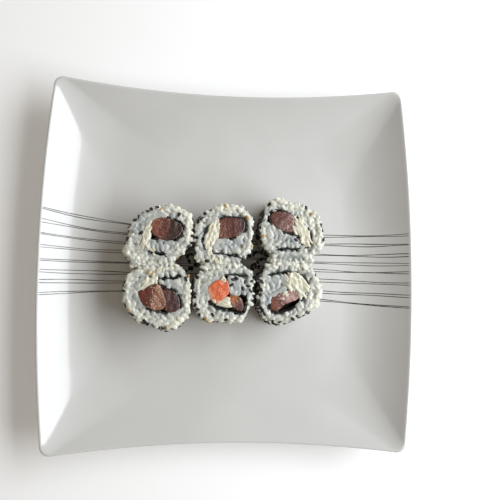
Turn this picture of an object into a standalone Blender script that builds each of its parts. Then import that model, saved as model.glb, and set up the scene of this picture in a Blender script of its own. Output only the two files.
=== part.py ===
"""Six uramaki roll pieces standing cut face up on a square porcelain plate.

Each piece is a spiral of rice, outside, and nori, inside, wrapped round its filling. The frame is
+X right, +Y to the back and +Z up, with the origin under the plate's centre, at the bottom of
its foot ring. Lengths are in millimetres until a mesh is made.
"""

import math

import bmesh
import bpy

MM = 0.001

# Plate: a square with two bowed and two hollowed sides, curved up to its rim. A share is a
# ring's size as a share of the plate's.
PLATE_HALF_WIDTH = 117.5  # to a corner, along X
PLATE_HALF_DEPTH = 123.5  # to a corner, along Y
SIDE_BOW = 7.5  # how far the left and right sides bow out
SIDE_HOLLOW = 6.7  # how far the front and back sides are hollowed
RIM_CORNER_Z = 27.0
RIM_BOWED_SIDE_Z = 25.0
RIM_HOLLOWED_SIDE_Z = 19.0
RIM_CORNER_RADIUS = 6.0
WELL_CORNER_RADIUS = 34.0
WELL_SHARE = 0.64  # inside this the glaze is flat
WELL_Z = 8.0
WALL_CURVE = 1.8  # power of the wall's rise from the well to the rim
PLATE_THICKNESS = 4.2
LIP_THICKNESS = 3.0
LIP_DROP = 1.2  # from the lip's inner edge down to its outer edge
STEEPENING = 0.35  # how much deeper than square-on the wall is, straight down, at the rim
RECESS_Z = 3.4  # height of the underside inside the foot ring
FOOT_SHARE = 0.60
FOOT_WIDTH_SHARE = 0.039
FOOT_TAPER_SHARE = 0.01
MIDDLE_SHARE = 0.30
WALL_SHARES = (0.72, 0.80, 0.88, 0.95, 0.99)
UNDER_SHARES = (0.985, 0.92, 0.83, 0.74, 0.655)
CORNER_STEPS = 4
SIDE_STEPS = 8

# Rolls
GAP = 0.3  # between one piece and the next
STAND_Z = WELL_Z + GAP
NORI_THICKNESS = 0.8
NORI_PROUD = 0.2  # how far the nori stands above the cut rice
FILLING_PROUD = 0.5
EDGE_INSET = 1.3  # how far the rice's cut edges are drawn in from the roll's waist
EDGE_HEIGHT = 3.4
LUMP = 0.9  # depth of the hollows between the lumps of rice on the sides
END_NOTCH = 1.6  # how far the rice stays back from the nori's outer end
END_MARGIN = 0.7  # how far inside the rice's outline the nori ends
NEIGHBOUR_REACH = 60.0  # rolls whose centres are closer than this press on each other
OUTLINE_POINTS = 48
NORI_POINTS = 32
FILLING_POINTS = 20
CURVE_STEPS = 16

# One entry for each roll, in millimetres from its centre:
# height   of its rice
# radii    the rice's outer radius every 30 degrees, counterclockwise from +X
# nori     the sheet's route, from its inner tip round the filling to its outer end
# fillings outlines of what the nori wraps
ROLLS = {
    "back_left": {
        "centre": (-48.0, 17.5),
        "height": 26.0,
        "radii": (23.6, 26.4, 23.4, 18.6, 17.6, 18.8, 19.4, 25.2, 23.6, 18.8, 19.0, 21.2),
        "nori": [(-6.2, -5.6), (-3.9, -2.9), (1.6, -2.7), (6.9, -4.4), (12.2, -3.4), (15.8, 0.6),
                 (17.3, 5.0), (14.6, 9.0), (8.4, 11.4), (1.8, 12.2), (-4.4, 10.2), (-8.6, 5.2),
                 (-11.2, -1.4), (-11.6, -6.6), (-8.6, -9.6), (-4.2, -10.2), (0.6, -11.4),
                 (5.2, -12.6), (7.6, -17.0)],
        "fillings": {
            "tuna": [(-2.6, 1.4), (0.8, -1.6), (6.8, -3.2), (11.6, -2.0), (15.2, 1.4), (16.2, 4.8),
                     (13.6, 8.0), (7.8, 10.2), (1.8, 11.0), (-2.8, 9.4), (-3.8, 5.0)],
            "cheese": [(-5.6, -3.6), (-4.0, 0.4), (-4.8, 4.4), (-4.2, 8.6), (-7.2, 4.8),
                       (-9.8, -0.8), (-10.2, -6.2), (-8.4, -8.4), (-7.0, -6.4)],
        },
    },
    "back_middle": {
        "centre": (-5.5, 18.0),
        "height": 26.8,
        "radii": (20.4, 22.8, 23.4, 20.8, 19.8, 20.4, 19.6, 22.8, 24.2, 19.6, 19.9, 20.8),
        "nori": [(-5.8, -7.6), (-5.0, -4.2), (-1.4, -2.9), (3.6, -2.2), (9.4, -1.2), (13.4, 2.4),
                 (15.0, 7.0), (13.6, 11.4), (7.4, 12.2), (0.8, 12.2), (-4.4, 10.4), (-9.0, 7.4),
                 (-11.4, 2.0), (-12.6, -4.0), (-11.8, -9.0), (-8.4, -11.6), (-3.4, -11.6),
                 (3.4, -12.4), (10.0, -13.4), (15.6, -16.4)],
        "fillings": {
            "tuna": [(-2.4, 9.4), (1.8, 11.0), (7.4, 11.0), (12.6, 10.4), (13.8, 6.8), (12.4, 3.0),
                     (8.8, 0.2), (3.6, -0.9), (-1.8, -1.6), (-2.9, 2.0), (-1.8, 5.4)],
            "cheese": [(-8.0, 6.6), (-4.8, 8.8), (-3.0, 7.4), (-3.4, 2.0), (-4.0, -1.6),
                       (-6.6, -4.6), (-7.4, -8.6), (-9.2, -10.2), (-11.2, -8.0), (-11.4, -3.4),
                       (-10.4, 2.0)],
        },
    },
    "back_right": {
        "centre": (39.5, 23.5),
        "height": 27.4,
        "radii": (21.8, 20.2, 17.8, 18.4, 23.8, 22.6, 21.9, 22.6, 22.6, 20.8, 23.4, 23.4),
        "nori": [(6.2, -9.4), (5.0, -5.4), (0.6, -3.4), (-4.6, -2.6), (-9.6, -1.2), (-13.6, 2.6),
                 (-15.2, 8.0), (-13.6, 12.4), (-8.4, 12.0), (-2.2, 10.9), (3.6, 7.6), (8.8, 3.0),
                 (12.2, -1.8), (13.2, -7.4), (10.4, -12.2), (4.4, -13.0), (-3.0, -13.4),
                 (-9.0, -13.6), (-14.0, -17.2)],
        "fillings": {
            "tuna": [(-13.2, 9.0), (-8.8, 10.6), (-4.0, 9.9), (-0.6, 8.4), (0.9, 5.4), (0.4, 1.8),
                     (-0.2, -1.8), (-4.6, -1.2), (-8.8, 0.2), (-12.4, 3.4), (-13.8, 6.6)],
            "cheese": [(2.0, 6.6), (1.7, 2.2), (1.6, -1.9), (5.6, -3.6), (7.6, -6.6), (7.8, -10.4),
                       (9.6, -10.8), (11.6, -7.4), (10.8, -2.4), (7.8, 1.8), (4.6, 5.2)],
        },
    },
    "front_left": {
        "centre": (-47.5, -20.0),
        "height": 25.4,
        "radii": (22.4, 23.2, 23.6, 19.2, 20.8, 23.0, 22.6, 22.2, 21.8, 22.4, 26.0, 25.2),
        "nori": [(-0.2, 6.8), (3.0, 4.0), (7.6, 2.8), (12.2, 2.0), (15.0, -2.4), (16.0, -8.6),
                 (13.2, -12.8), (7.6, -12.9), (1.2, -11.6), (-5.0, -10.4), (-9.8, -6.6),
                 (-12.2, -1.2), (-11.6, 4.2), (-10.2, 8.8), (-5.4, 10.6), (0.6, 9.8), (6.2, 9.6),
                 (12.6, 10.6), (19.4, 13.4)],
        "fillings": {
            "tuna_left": [(-10.8, -0.8), (-6.3, 2.4), (-2.0, 4.8), (1.0, 4.8), (2.8, 1.6),
                          (4.2, -2.2), (5.4, -6.4), (2.6, -9.8), (-2.4, -9.4), (-7.2, -6.6)],
            "tuna_right": [(4.6, 1.8), (8.8, 1.4), (12.0, 0.4), (13.8, -3.8), (14.6, -8.6),
                           (12.2, -11.4), (8.0, -11.4), (6.0, -8.8), (6.4, -4.8), (5.2, -1.6)],
            "cheese": [(-10.4, 3.4), (-8.9, 7.6), (-5.0, 9.2), (-1.4, 8.2), (-2.0, 5.9),
                       (-6.4, 3.4), (-9.4, 1.6)],
        },
    },
    "front_middle": {
        "centre": (-4.5, -19.0),
        "height": 26.2,
        "radii": (19.2, 23.6, 21.6, 16.6, 18.0, 21.9, 20.6, 21.8, 21.6, 19.5, 22.4, 20.4),
        "nori": [(3.9, 9.4), (4.2, 5.0), (5.0, 0.6), (9.4, -1.2), (14.4, -1.4), (15.2, -7.4),
                 (13.0, -13.6), (7.6, -12.6), (1.4, -11.2), (-4.6, -9.8), (-9.4, -6.2),
                 (-11.4, -0.8), (-10.2, 4.6), (-5.8, 8.4), (-0.2, 10.8), (5.0, 11.8), (11.2, 11.0),
                 (20.4, 12.4)],
        "fillings": {
            "salmon_left": [(-9.9, 2.0), (-7.2, 5.4), (-2.8, 7.6), (1.2, 7.6), (2.7, 4.0),
                            (2.6, 0.2), (-0.6, -3.0), (-5.0, -6.4), (-8.6, -3.6)],
            "salmon_right": [(4.4, -2.0), (8.2, -2.6), (11.4, -4.8), (12.6, -9.4), (11.2, -11.8),
                             (7.6, -10.2), (4.8, -7.8), (3.4, -4.8)],
            "cheese": [(-4.2, -7.0), (-0.4, -4.2), (2.0, -2.8), (3.2, -6.2), (3.6, -9.6),
                       (-1.2, -9.4)],
        },
    },
    "front_right": {
        "centre": (38.5, -17.5),
        "height": 25.8,
        "radii": (22.2, 21.6, 22.2, 21.4, 22.6, 23.4, 21.4, 23.8, 24.6, 20.4, 19.2, 21.0),
        "nori": [(-4.4, 9.6), (-2.4, 5.8), (-3.6, 1.6), (-8.2, -0.8), (-12.8, -3.4), (-13.4, -9.4),
                 (-10.8, -14.2), (-4.0, -13.6), (3.0, -10.8), (7.8, -6.6), (10.6, -1.0),
                 (12.2, 5.0), (8.8, 10.4), (2.4, 12.6), (-4.6, 12.8), (-11.2, 10.8),
                 (-20.6, 10.0)],
        "fillings": {
            "tuna": [(-11.8, -4.8), (-7.4, -2.2), (-2.6, -0.2), (2.6, 0.8), (5.2, -1.4),
                     (5.2, -4.8), (0.6, -6.2), (-3.6, -8.0), (-7.8, -11.8), (-11.6, -11.6)],
            "cheese": [(-1.4, 5.8), (-1.4, 10.6), (3.4, 11.2), (7.8, 9.2), (10.8, 5.0),
                       (9.4, -0.6), (6.8, -3.8), (6.3, 0.6), (2.8, 2.4), (-1.8, 1.8)],
        },
    },
}

# Linear colour and roughness of each material
FINISHES = {
    "porcelain": ((0.80, 0.80, 0.78), 0.15),
    "sushi_rice": ((0.72, 0.74, 0.70), 0.40),
    "nori": ((0.010, 0.014, 0.012), 0.45),
    "tuna": ((0.20, 0.05, 0.04), 0.30),
    "salmon": ((0.70, 0.17, 0.07), 0.30),
    "cheese": ((0.78, 0.76, 0.62), 0.45),
}
SHARP_ANGLE = math.radians(40)


def clear_scene():
    for obj in list(bpy.data.objects):
        bpy.data.objects.remove(obj)


def material(name):
    made = bpy.data.materials.get(name)
    if made is None:
        colour, roughness = FINISHES[name]
        made = bpy.data.materials.new(name)
        made.use_nodes = True
        shader = made.node_tree.nodes["Principled BSDF"]
        shader.inputs["Base Color"].default_value = (*colour, 1.0)
        shader.inputs["Roughness"].default_value = roughness
        shader.inputs["Metallic"].default_value = 0.0
    return made


def add_object(name, bm, material_name, parent=None):
    """Makes a named object from a bmesh in millimetres, which it frees."""
    bmesh.ops.recalc_face_normals(bm, faces=bm.faces)
    for vert in bm.verts:
        vert.co *= MM
    mesh = bpy.data.meshes.new(name)
    bm.to_mesh(mesh)
    bm.free()
    mesh.materials.append(material(material_name))
    mesh.shade_smooth()
    mesh.set_sharp_from_angle(angle=SHARP_ANGLE)
    obj = bpy.data.objects.new(name, mesh)
    obj.parent = parent
    bpy.context.scene.collection.objects.link(obj)


# Plate

def rounded_rectangle(half_x, half_y, radius):
    """The outline's points, counterclockwise, with the same count at any size."""
    corners = [(half_x - radius, half_y - radius), (radius - half_x, half_y - radius),
               (radius - half_x, radius - half_y), (half_x - radius, radius - half_y)]
    arcs = []
    for quarter, (x, y) in enumerate(corners):
        angles = [math.pi / 2 * (quarter + step / CORNER_STEPS) for step in range(CORNER_STEPS + 1)]
        arcs.append([(x + radius * math.cos(a), y + radius * math.sin(a)) for a in angles])
    outline = []
    for arc, following in zip(arcs, arcs[1:] + arcs[:1]):
        outline += arc
        (ax, ay), (bx, by) = arc[-1], following[0]
        parts = [step / SIDE_STEPS for step in range(1, SIDE_STEPS)]
        outline += [(ax + (bx - ax) * part, ay + (by - ay) * part) for part in parts]
    return outline


def up_the_wall(share):
    """0 from the centre to the well's edge, rising evenly to 1 at the rim."""
    return max(0.0, share - WELL_SHARE) / (1 - WELL_SHARE)


def plate_ring(share, height):
    """A ring of points (x, y, z) round the plate. height takes the point's place between corners,
    -1 to 1 along X and Y."""
    half_x, half_y = PLATE_HALF_WIDTH * share, PLATE_HALF_DEPTH * share
    radius = WELL_CORNER_RADIUS + (RIM_CORNER_RADIUS - WELL_CORNER_RADIUS) * up_the_wall(share)
    radius = min(radius, WELL_CORNER_RADIUS * share / WELL_SHARE)
    ring = []
    for x, y in rounded_rectangle(half_x, half_y, radius):
        across, along = x / half_x, y / half_y
        bow = 1 + SIDE_BOW / PLATE_HALF_WIDTH * (1 - along**2)
        hollow = 1 - SIDE_HOLLOW / PLATE_HALF_DEPTH * (1 - across**2)
        ring.append((x * bow, y * hollow, height(across, along)))
    return ring


def rim_z(across, along):
    """The rim is highest at the corners and lowest in the middle of the hollowed sides."""
    bowed_dip = (RIM_CORNER_Z - RIM_BOWED_SIDE_Z) * (1 - along**2)
    hollowed_dip = (RIM_CORNER_Z - RIM_HOLLOWED_SIDE_Z) * (1 - across**2)
    return RIM_CORNER_Z - bowed_dip - hollowed_dip


def glaze(share, lower=0.0):
    """Height of the plate's upper face on the ring at this share, or that much lower."""
    rise = up_the_wall(share) ** WALL_CURVE
    return lambda across, along: WELL_Z + (rim_z(across, along) - WELL_Z) * rise - lower


def underside(share):
    """Height of the outer underside, which follows the glaze and thins towards the lip."""
    up = up_the_wall(share)
    thickness = PLATE_THICKNESS + (LIP_THICKNESS - PLATE_THICKNESS) * up
    return glaze(share, thickness * (1 + STEEPENING * up))


def level(z):
    return lambda across, along: z


def make_plate():
    """Rings from the middle of the well, over the lip and back underneath, closed by two fans."""
    foot_in = FOOT_SHARE - FOOT_WIDTH_SHARE
    rings = [plate_ring(share, glaze(share)) for share in (MIDDLE_SHARE, WELL_SHARE, *WALL_SHARES)]
    rings.append(plate_ring(1.0, glaze(1.0, LIP_DROP)))
    rings += [plate_ring(share, underside(share)) for share in UNDER_SHARES]
    rings.append(plate_ring(FOOT_SHARE + FOOT_TAPER_SHARE, level(RECESS_Z)))
    rings.append(plate_ring(FOOT_SHARE, level(0.0)))
    rings.append(plate_ring(foot_in, level(0.0)))
    rings.append(plate_ring(foot_in - FOOT_TAPER_SHARE, level(RECESS_Z)))
    rings.append(plate_ring(MIDDLE_SHARE, level(RECESS_Z)))

    bm = bmesh.new()
    loops = [[bm.verts.new(point) for point in ring] for ring in rings]
    count = len(loops[0])
    for inner, outer in zip(loops, loops[1:]):
        for i in range(count):
            bm.faces.new((inner[i - 1], inner[i], outer[i], outer[i - 1]))
    for loop, z in ((loops[0], WELL_Z), (loops[-1], RECESS_Z)):
        middle = bm.verts.new((0.0, 0.0, z))
        for i in range(count):
            bm.faces.new((loop[i - 1], loop[i], middle))
    add_object("plate", bm, "porcelain")


# Flat curves: lists of (x, y)

def smooth_curve(knots, count, closed):
    """A Catmull-Rom curve through the knots, as count points evenly spaced along it."""
    total = len(knots)
    fine = []
    for span in range(total if closed else total - 1):
        near = [span + k for k in (-1, 0, 1, 2)]
        near = [i % total if closed else min(max(i, 0), total - 1) for i in near]
        for step in range(CURVE_STEPS):
            t = step / CURVE_STEPS
            weights = (-t + 2 * t**2 - t**3, 2 - 5 * t**2 + 3 * t**3,
                       t + 4 * t**2 - 3 * t**3, t**3 - t**2)
            fine.append(tuple(sum(w * knots[i][axis] for w, i in zip(weights, near)) / 2
                              for axis in (0, 1)))
    fine.append(knots[0] if closed else knots[-1])
    reached = [0.0]
    for a, b in zip(fine, fine[1:]):
        reached.append(reached[-1] + math.dist(a, b))
    even = []
    span = 0
    for k in range(count):
        wanted = reached[-1] * k / (count if closed else count - 1)
        while span < len(fine) - 2 and reached[span + 1] < wanted:
            span += 1
        share = (wanted - reached[span]) / (reached[span + 1] - reached[span])
        even.append(tuple(a + (b - a) * share for a, b in zip(fine[span], fine[span + 1])))
    return even


def beside(path, distance):
    """The open path moved sideways, to its right for a positive distance."""
    moved = []
    for i, (x, y) in enumerate(path):
        ax, ay = path[max(i - 1, 0)]
        bx, by = path[min(i + 1, len(path) - 1)]
        length = math.dist((ax, ay), (bx, by))
        moved.append((x + (by - ay) / length * distance, y - (bx - ax) / length * distance))
    return moved


def edges_of(line, closed):
    return zip(line, line[1:] + line[:1] if closed else line[1:])


def nearest_on(line, point, closed):
    """The nearest point of a line of straight edges."""
    found = []
    for (ax, ay), (bx, by) in edges_of(line, closed):
        dx, dy = bx - ax, by - ay
        share = ((point[0] - ax) * dx + (point[1] - ay) * dy) / (dx * dx + dy * dy)
        share = min(max(share, 0.0), 1.0)
        found.append((ax + dx * share, ay + dy * share))
    return min(found, key=lambda near: math.dist(near, point))


def holds(outline, point):
    """Whether the point is inside a closed outline, by counting crossings."""
    x, y = point
    held = False
    for (ax, ay), (bx, by) in edges_of(outline, closed=True):
        if (ay > y) != (by > y) and x < (bx - ax) * (y - ay) / (by - ay) + ax:
            held = not held
    return held


def kept_clear(outline, other, margin, closed):
    """The outline with the points that lie within margin of another line moved away from it."""
    moved = []
    for point in outline:
        near = nearest_on(other, point, closed)
        distance = math.dist(near, point)
        crossed = closed and holds(other, point)
        if distance < margin or crossed:
            scale = (-margin if crossed else margin) / distance
            point = tuple(n + (p - n) * scale for n, p in zip(near, point))
        moved.append(point)
    return moved


def turns_left(path):
    """Whether the path winds counterclockwise round its own middle."""
    mx, my = (sum(values) / len(path) for values in zip(*path))
    swept = sum((ax - mx) * (by - my) - (bx - mx) * (ay - my)
                for (ax, ay), (bx, by) in edges_of(path, closed=False))
    return swept > 0


# Rolls

def reach_towards(name, angle):
    """The roll's outer radius in a direction, read between the named radii."""
    radii = ROLLS[name]["radii"]
    place = angle / (2 * math.pi) * len(radii)
    low = math.floor(place)
    share = place - low
    return radii[low % len(radii)] * (1 - share) + radii[(low + 1) % len(radii)] * share


def rice_outline(name):
    """The rice's outer outline, flattened where it presses on a neighbour."""
    radii = ROLLS[name]["radii"]
    turns = [2 * math.pi * i / len(radii) for i in range(len(radii))]
    knots = [(r * math.cos(a), r * math.sin(a)) for r, a in zip(radii, turns)]
    outline = smooth_curve(knots, OUTLINE_POINTS, closed=True)
    cx, cy = ROLLS[name]["centre"]
    for other in ROLLS:
        dx, dy = ROLLS[other]["centre"][0] - cx, ROLLS[other]["centre"][1] - cy
        apart = math.hypot(dx, dy)
        if not 0 < apart < NEIGHBOUR_REACH:
            continue
        angle = math.atan2(dy, dx)
        own, theirs = reach_towards(name, angle), reach_towards(other, angle + math.pi)
        limit = apart * own / (own + theirs) - GAP
        ux, uy = dx / apart, dy / apart
        over = [max(0.0, x * ux + y * uy - limit) for x, y in outline]
        outline = [(x - o * ux, y - o * uy) for (x, y), o in zip(outline, over)]
    return outline


def nori_path(name, outline):
    """The nori's middle line, ended just inside the rice's outline."""
    path = smooth_curve(ROLLS[name]["nori"], NORI_POINTS, closed=False)
    within = [point for point in path if holds(outline, point)]
    return [point for point in within
            if math.dist(nearest_on(outline, point, closed=True), point) > END_MARGIN]


def rice_section(path, outline):
    """The rice's section as (x, y, free), where free is 1 on the outer outline and 0 beside the nori.

    It runs in along the tongue's side of the tail, round the tip, out along the nori's outer
    side, and back round the outer outline.
    """
    left = turns_left(path)
    away = NORI_THICKNESS / 2 + GAP
    outer_side = beside(path, away if left else -away)
    tongue_side = beside(path, -away if left else away)
    half = len(path) // 2
    meeting = min(range(half, len(path)), key=lambda i: math.dist(tongue_side[i], path[0]))
    ring = outline[::-1] if left else outline
    start = min(range(len(ring)), key=lambda i: math.dist(ring[i], path[-1]))
    ring = ring[start:] + ring[:start]
    ring = [point for point in ring if math.dist(point, path[-1]) > END_NOTCH + END_MARGIN]
    beside_nori = tongue_side[meeting:][::-1] + outer_side
    return [(x, y, 0.0) for x, y in beside_nori] + [(x, y, 1.0) for x, y in ring]


def lump(x, y, z):
    """How far the rice's side is sunk here, from 0 on a lump to 1 between lumps."""
    angle = math.atan2(y, x)
    return 0.5 + 0.5 * math.sin(7 * angle + 0.9 * z) * math.cos(4 * angle - 0.5 * z)


def add_stack(name, rings, material_name, parent):
    """A closed solid: the first ring's face extruded up through the other rings."""
    bm = bmesh.new()
    bottom = bm.faces.new([bm.verts.new(point) for point in rings[0]])
    top = bottom
    for ring in rings[1:]:
        grown = bmesh.ops.extrude_face_region(bm, geom=[top])["geom"]
        if top != bottom:
            bm.faces.remove(top)  # it has come to lie inside
        top = next(item for item in grown if isinstance(item, bmesh.types.BMFace))
        for vert, point in zip(top.verts, ring):
            vert.co = point
    add_object(name, bm, material_name, parent)


def add_rice(name, path, outline, parent):
    section = rice_section(path, outline)
    height = ROLLS[name]["height"]
    levels = ((0.0, EDGE_INSET), (EDGE_HEIGHT, 0.0), (height - EDGE_HEIGHT, 0.0),
              (height, EDGE_INSET))
    rings = []
    for z, inset in levels:
        ring = []
        for x, y, free in section:
            scale = 1 - free * (inset + LUMP * lump(x, y, z)) / math.hypot(x, y)
            ring.append((x * scale, y * scale, z))
        rings.append(ring)
    add_stack(f"{name}_rice", rings, "sushi_rice", parent)


def add_nori(name, path, parent):
    half = NORI_THICKNESS / 2
    sheet = beside(path, half) + beside(path, -half)[::-1]
    top = ROLLS[name]["height"] + NORI_PROUD
    add_stack(f"{name}_nori", [[(x, y, z) for x, y in sheet] for z in (0.0, top)], "nori", parent)


def add_fillings(name, path, parent):
    top = ROLLS[name]["height"] + FILLING_PROUD
    placed = []
    for filling, knots in ROLLS[name]["fillings"].items():
        piece = smooth_curve(knots, FILLING_POINTS, closed=True)
        piece = kept_clear(piece, path, NORI_THICKNESS / 2 + GAP, closed=False)
        for other in placed:
            piece = kept_clear(piece, other, GAP, closed=True)
        placed.append(piece)
        rings = [[(x, y, z) for x, y in piece] for z in (0.0, top)]
        add_stack(f"{name}_{filling}", rings, filling.split("_")[0], parent)


def make_roll(name):
    stand = bpy.data.objects.new(f"{name}_roll", None)
    cx, cy = ROLLS[name]["centre"]
    stand.location = (cx * MM, cy * MM, STAND_Z * MM)
    bpy.context.scene.collection.objects.link(stand)
    outline = rice_outline(name)
    path = nori_path(name, outline)
    add_rice(name, path, outline, stand)
    add_nori(name, path, stand)
    add_fillings(name, path, stand)


def main():
    clear_scene()
    make_plate()
    for name in ROLLS:
        make_roll(name)


main()
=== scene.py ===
"""The looks of six uramaki pieces standing on a square striped plate.

Every shape is worked out with numpy in millimetres, and turned into metres where its mesh is
made. Outlines come from the frame's solids, so each piece lies where its solid does.
"""

import math

import bpy
import numpy as np
from mathutils import Matrix, Vector
from mathutils.bvhtree import BVHTree


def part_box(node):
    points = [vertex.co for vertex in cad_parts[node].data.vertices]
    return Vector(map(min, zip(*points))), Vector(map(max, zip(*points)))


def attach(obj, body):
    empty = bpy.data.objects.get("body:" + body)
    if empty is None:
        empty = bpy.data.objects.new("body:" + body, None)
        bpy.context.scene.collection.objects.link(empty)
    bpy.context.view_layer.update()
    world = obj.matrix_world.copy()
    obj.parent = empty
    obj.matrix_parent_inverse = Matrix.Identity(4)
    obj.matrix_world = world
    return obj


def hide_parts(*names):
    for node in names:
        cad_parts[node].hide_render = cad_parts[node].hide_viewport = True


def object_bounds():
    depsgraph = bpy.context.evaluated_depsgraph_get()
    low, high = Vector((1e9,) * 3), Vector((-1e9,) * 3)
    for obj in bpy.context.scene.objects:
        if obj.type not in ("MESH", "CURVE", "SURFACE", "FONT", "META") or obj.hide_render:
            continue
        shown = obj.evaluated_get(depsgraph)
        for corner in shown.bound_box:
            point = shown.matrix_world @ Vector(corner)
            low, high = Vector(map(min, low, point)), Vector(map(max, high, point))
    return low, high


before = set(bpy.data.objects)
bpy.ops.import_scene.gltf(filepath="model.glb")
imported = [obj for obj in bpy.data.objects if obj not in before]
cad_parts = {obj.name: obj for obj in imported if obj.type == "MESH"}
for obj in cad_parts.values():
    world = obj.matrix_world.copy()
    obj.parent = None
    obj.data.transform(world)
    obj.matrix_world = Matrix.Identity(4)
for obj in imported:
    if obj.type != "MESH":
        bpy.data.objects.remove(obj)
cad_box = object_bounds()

MM = 0.001
DOWN = Vector((0, 0, -1))
BOX_TOP = cad_box[1][2] / MM
ROLLS = ("back_left", "back_middle", "back_right", "front_left", "front_middle", "front_right")


# Meshes

def new_piece(name, points, faces, material, slot, replaces=(), attributes=None):
    """A smooth mesh piece that rides with the root, from points in mm and arrays of faces.

    faces is a list of index arrays, each of shape (count, corners).
    """
    mesh = bpy.data.meshes.new(name)
    mesh.vertices.add(len(points))
    mesh.vertices.foreach_set("co", (points * MM).astype(np.float32).ravel())
    corners = np.concatenate([block.ravel() for block in faces]).astype(np.int32)
    sizes = np.concatenate([np.full(len(block), block.shape[1]) for block in faces])
    starts = np.concatenate([[0], np.cumsum(sizes)[:-1]]).astype(np.int32)
    mesh.loops.add(len(corners))
    mesh.loops.foreach_set("vertex_index", corners)
    mesh.polygons.add(len(sizes))
    mesh.polygons.foreach_set("loop_start", starts)
    mesh.update(calc_edges=True)
    mesh.shade_smooth()
    for key, values in (attributes or {}).items():
        layer = mesh.attributes.new(key, "FLOAT", "POINT")
        layer.data.foreach_set("value", values.astype(np.float32))
    mesh.materials.append(material)
    piece = bpy.data.objects.new(name, mesh)
    bpy.context.scene.collection.objects.link(piece)
    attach(piece, "root")
    if replaces:
        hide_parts(*replaces)


def grid_faces(rows, columns, wrap=True):
    """Quads between rows of points laid out as rows x columns, each row closed where wrap is set."""
    row, column = np.meshgrid(np.arange(rows - 1), np.arange(columns if wrap else columns - 1),
                              indexing="ij")
    beside = (column + 1) % columns
    corners = (row * columns + column, row * columns + beside,
               (row + 1) * columns + beside, (row + 1) * columns + column)
    return np.stack([c.ravel() for c in corners], axis=1)


def fan_faces(centre, ring):
    """Triangles from a centre point to each edge of a closed ring of indices."""
    return np.stack([np.full(len(ring), centre), ring, np.roll(ring, -1)], axis=1)


RIPPLE_WAVES = 7
RIPPLE_GAIN = 1.6


def ripples(x, y, size, seed):
    """Smooth unevenness from -1 to 1: the mean of sine waves about size mm long, each in its own
    direction."""
    rng = np.random.default_rng(seed)
    total = np.zeros(np.broadcast(x, y).shape)
    angles = rng.uniform(0, math.pi, RIPPLE_WAVES)
    phases = rng.uniform(0, 2 * math.pi, RIPPLE_WAVES)
    stretches = rng.uniform(0.7, 1.5, RIPPLE_WAVES)
    for angle, phase, stretch in zip(angles, phases, stretches):
        along = x * math.cos(angle) + y * math.sin(angle)
        total += np.sin(2 * math.pi * along * stretch / size + phase)
    return total / RIPPLE_WAVES * RIPPLE_GAIN


def wavering(along, size, seed):
    """Unevenness along a line."""
    return ripples(along, 0 * along, size, seed)


# What the frame's solids say

def solid_mesh(node):
    """A solid's welded points in mm and its triangles."""
    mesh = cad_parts[node].data
    points = np.empty(len(mesh.vertices) * 3, np.float32)
    mesh.vertices.foreach_get("co", points)
    mesh.calc_loop_triangles()
    triangles = np.empty(len(mesh.loop_triangles) * 3, np.int32)
    mesh.loop_triangles.foreach_get("vertices", triangles)
    keys = np.round(points.reshape(-1, 3) / MM, 2)
    welded, index = np.unique(keys, axis=0, return_inverse=True)
    return welded, index.reshape(-1)[triangles].reshape(-1, 3)


def bottom_and_top(node):
    """A solid's lowest and highest place in mm."""
    return tuple(corner[2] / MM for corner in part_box(node))


PLANE_SHIFT = 0.0137  # so that the plane through a solid's middle misses its corners


def outline_of(node):
    """A solid's outline, counterclockwise, where a level plane cuts it half way up.

    Each triangle the plane crosses gives one step of the walk; points on a straight run are
    dropped.
    """
    points, triangles = solid_mesh(node)
    z = points[:, 2].min() + 0.5 * np.ptp(points[:, 2]) + PLANE_SHIFT
    corners = points[triangles]
    above = corners[..., 2] > z
    corners, above = corners[above.any(1) & ~above.all(1)], above[above.any(1) & ~above.all(1)]
    lone = np.where(above.sum(1) == 1, above.argmax(1), (~above).argmax(1))
    rows = np.arange(len(corners))
    apex, after, before = (corners[rows, (lone + k) % 3] for k in range(3))
    cuts = [apex + (other - apex) * ((z - apex[:, 2]) / (other[:, 2] - apex[:, 2]))[:, None]
            for other in (after, before)]
    upward = (above.sum(1) == 1)[:, None]
    first = np.where(upward, cuts[0], cuts[1])[:, :2]
    second = np.where(upward, cuts[1], cuts[0])[:, :2]
    start_keys, end_keys = (list(map(tuple, np.round(e, 2).tolist())) for e in (first, second))
    step_from = dict(zip(start_keys, range(len(rows))))
    walk = [0]
    while step_from[end_keys[walk[-1]]] != 0:
        walk.append(step_from[end_keys[walk[-1]]])
    outline = first[walk]
    ahead, behind = np.roll(outline, -1, 0) - outline, outline - np.roll(outline, 1, 0)
    turn = ahead[:, 0] * behind[:, 1] - ahead[:, 1] * behind[:, 0]
    sharp = np.abs(turn) > 0.01 * np.linalg.norm(ahead, axis=1) * np.linalg.norm(behind, axis=1)
    outline = outline[sharp]
    x, y = outline.T
    return outline if (x * np.roll(y, -1) - y * np.roll(x, -1)).sum() > 0 else outline[::-1]


def depth_in(points, outline):
    """How deep each point lies inside a closed outline, negative outside it, and the outline's
    nearest point."""
    start, end = outline, np.roll(outline, -1, axis=0)
    edge = end - start
    offset = points[:, None] - start
    share = np.clip((offset * edge).sum(-1) / (edge * edge).sum(-1), 0, 1)
    near = start + share[..., None] * edge
    distance = np.linalg.norm(points[:, None] - near, axis=-1)
    nearest = distance.argmin(1)
    x, y = points[:, :1], points[:, 1:]
    crosses = (start[:, 1] > y) != (end[:, 1] > y)
    rise = np.where(edge[:, 1] == 0, 1, edge[:, 1])
    hits = crosses & (x < start[:, 0] + (y - start[:, 1]) / rise * edge[:, 0])
    inside = hits.sum(1) % 2 == 1
    rows = np.arange(len(points))
    distance = distance[rows, nearest]
    return np.where(inside, distance, -distance), near[rows, nearest]


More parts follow.
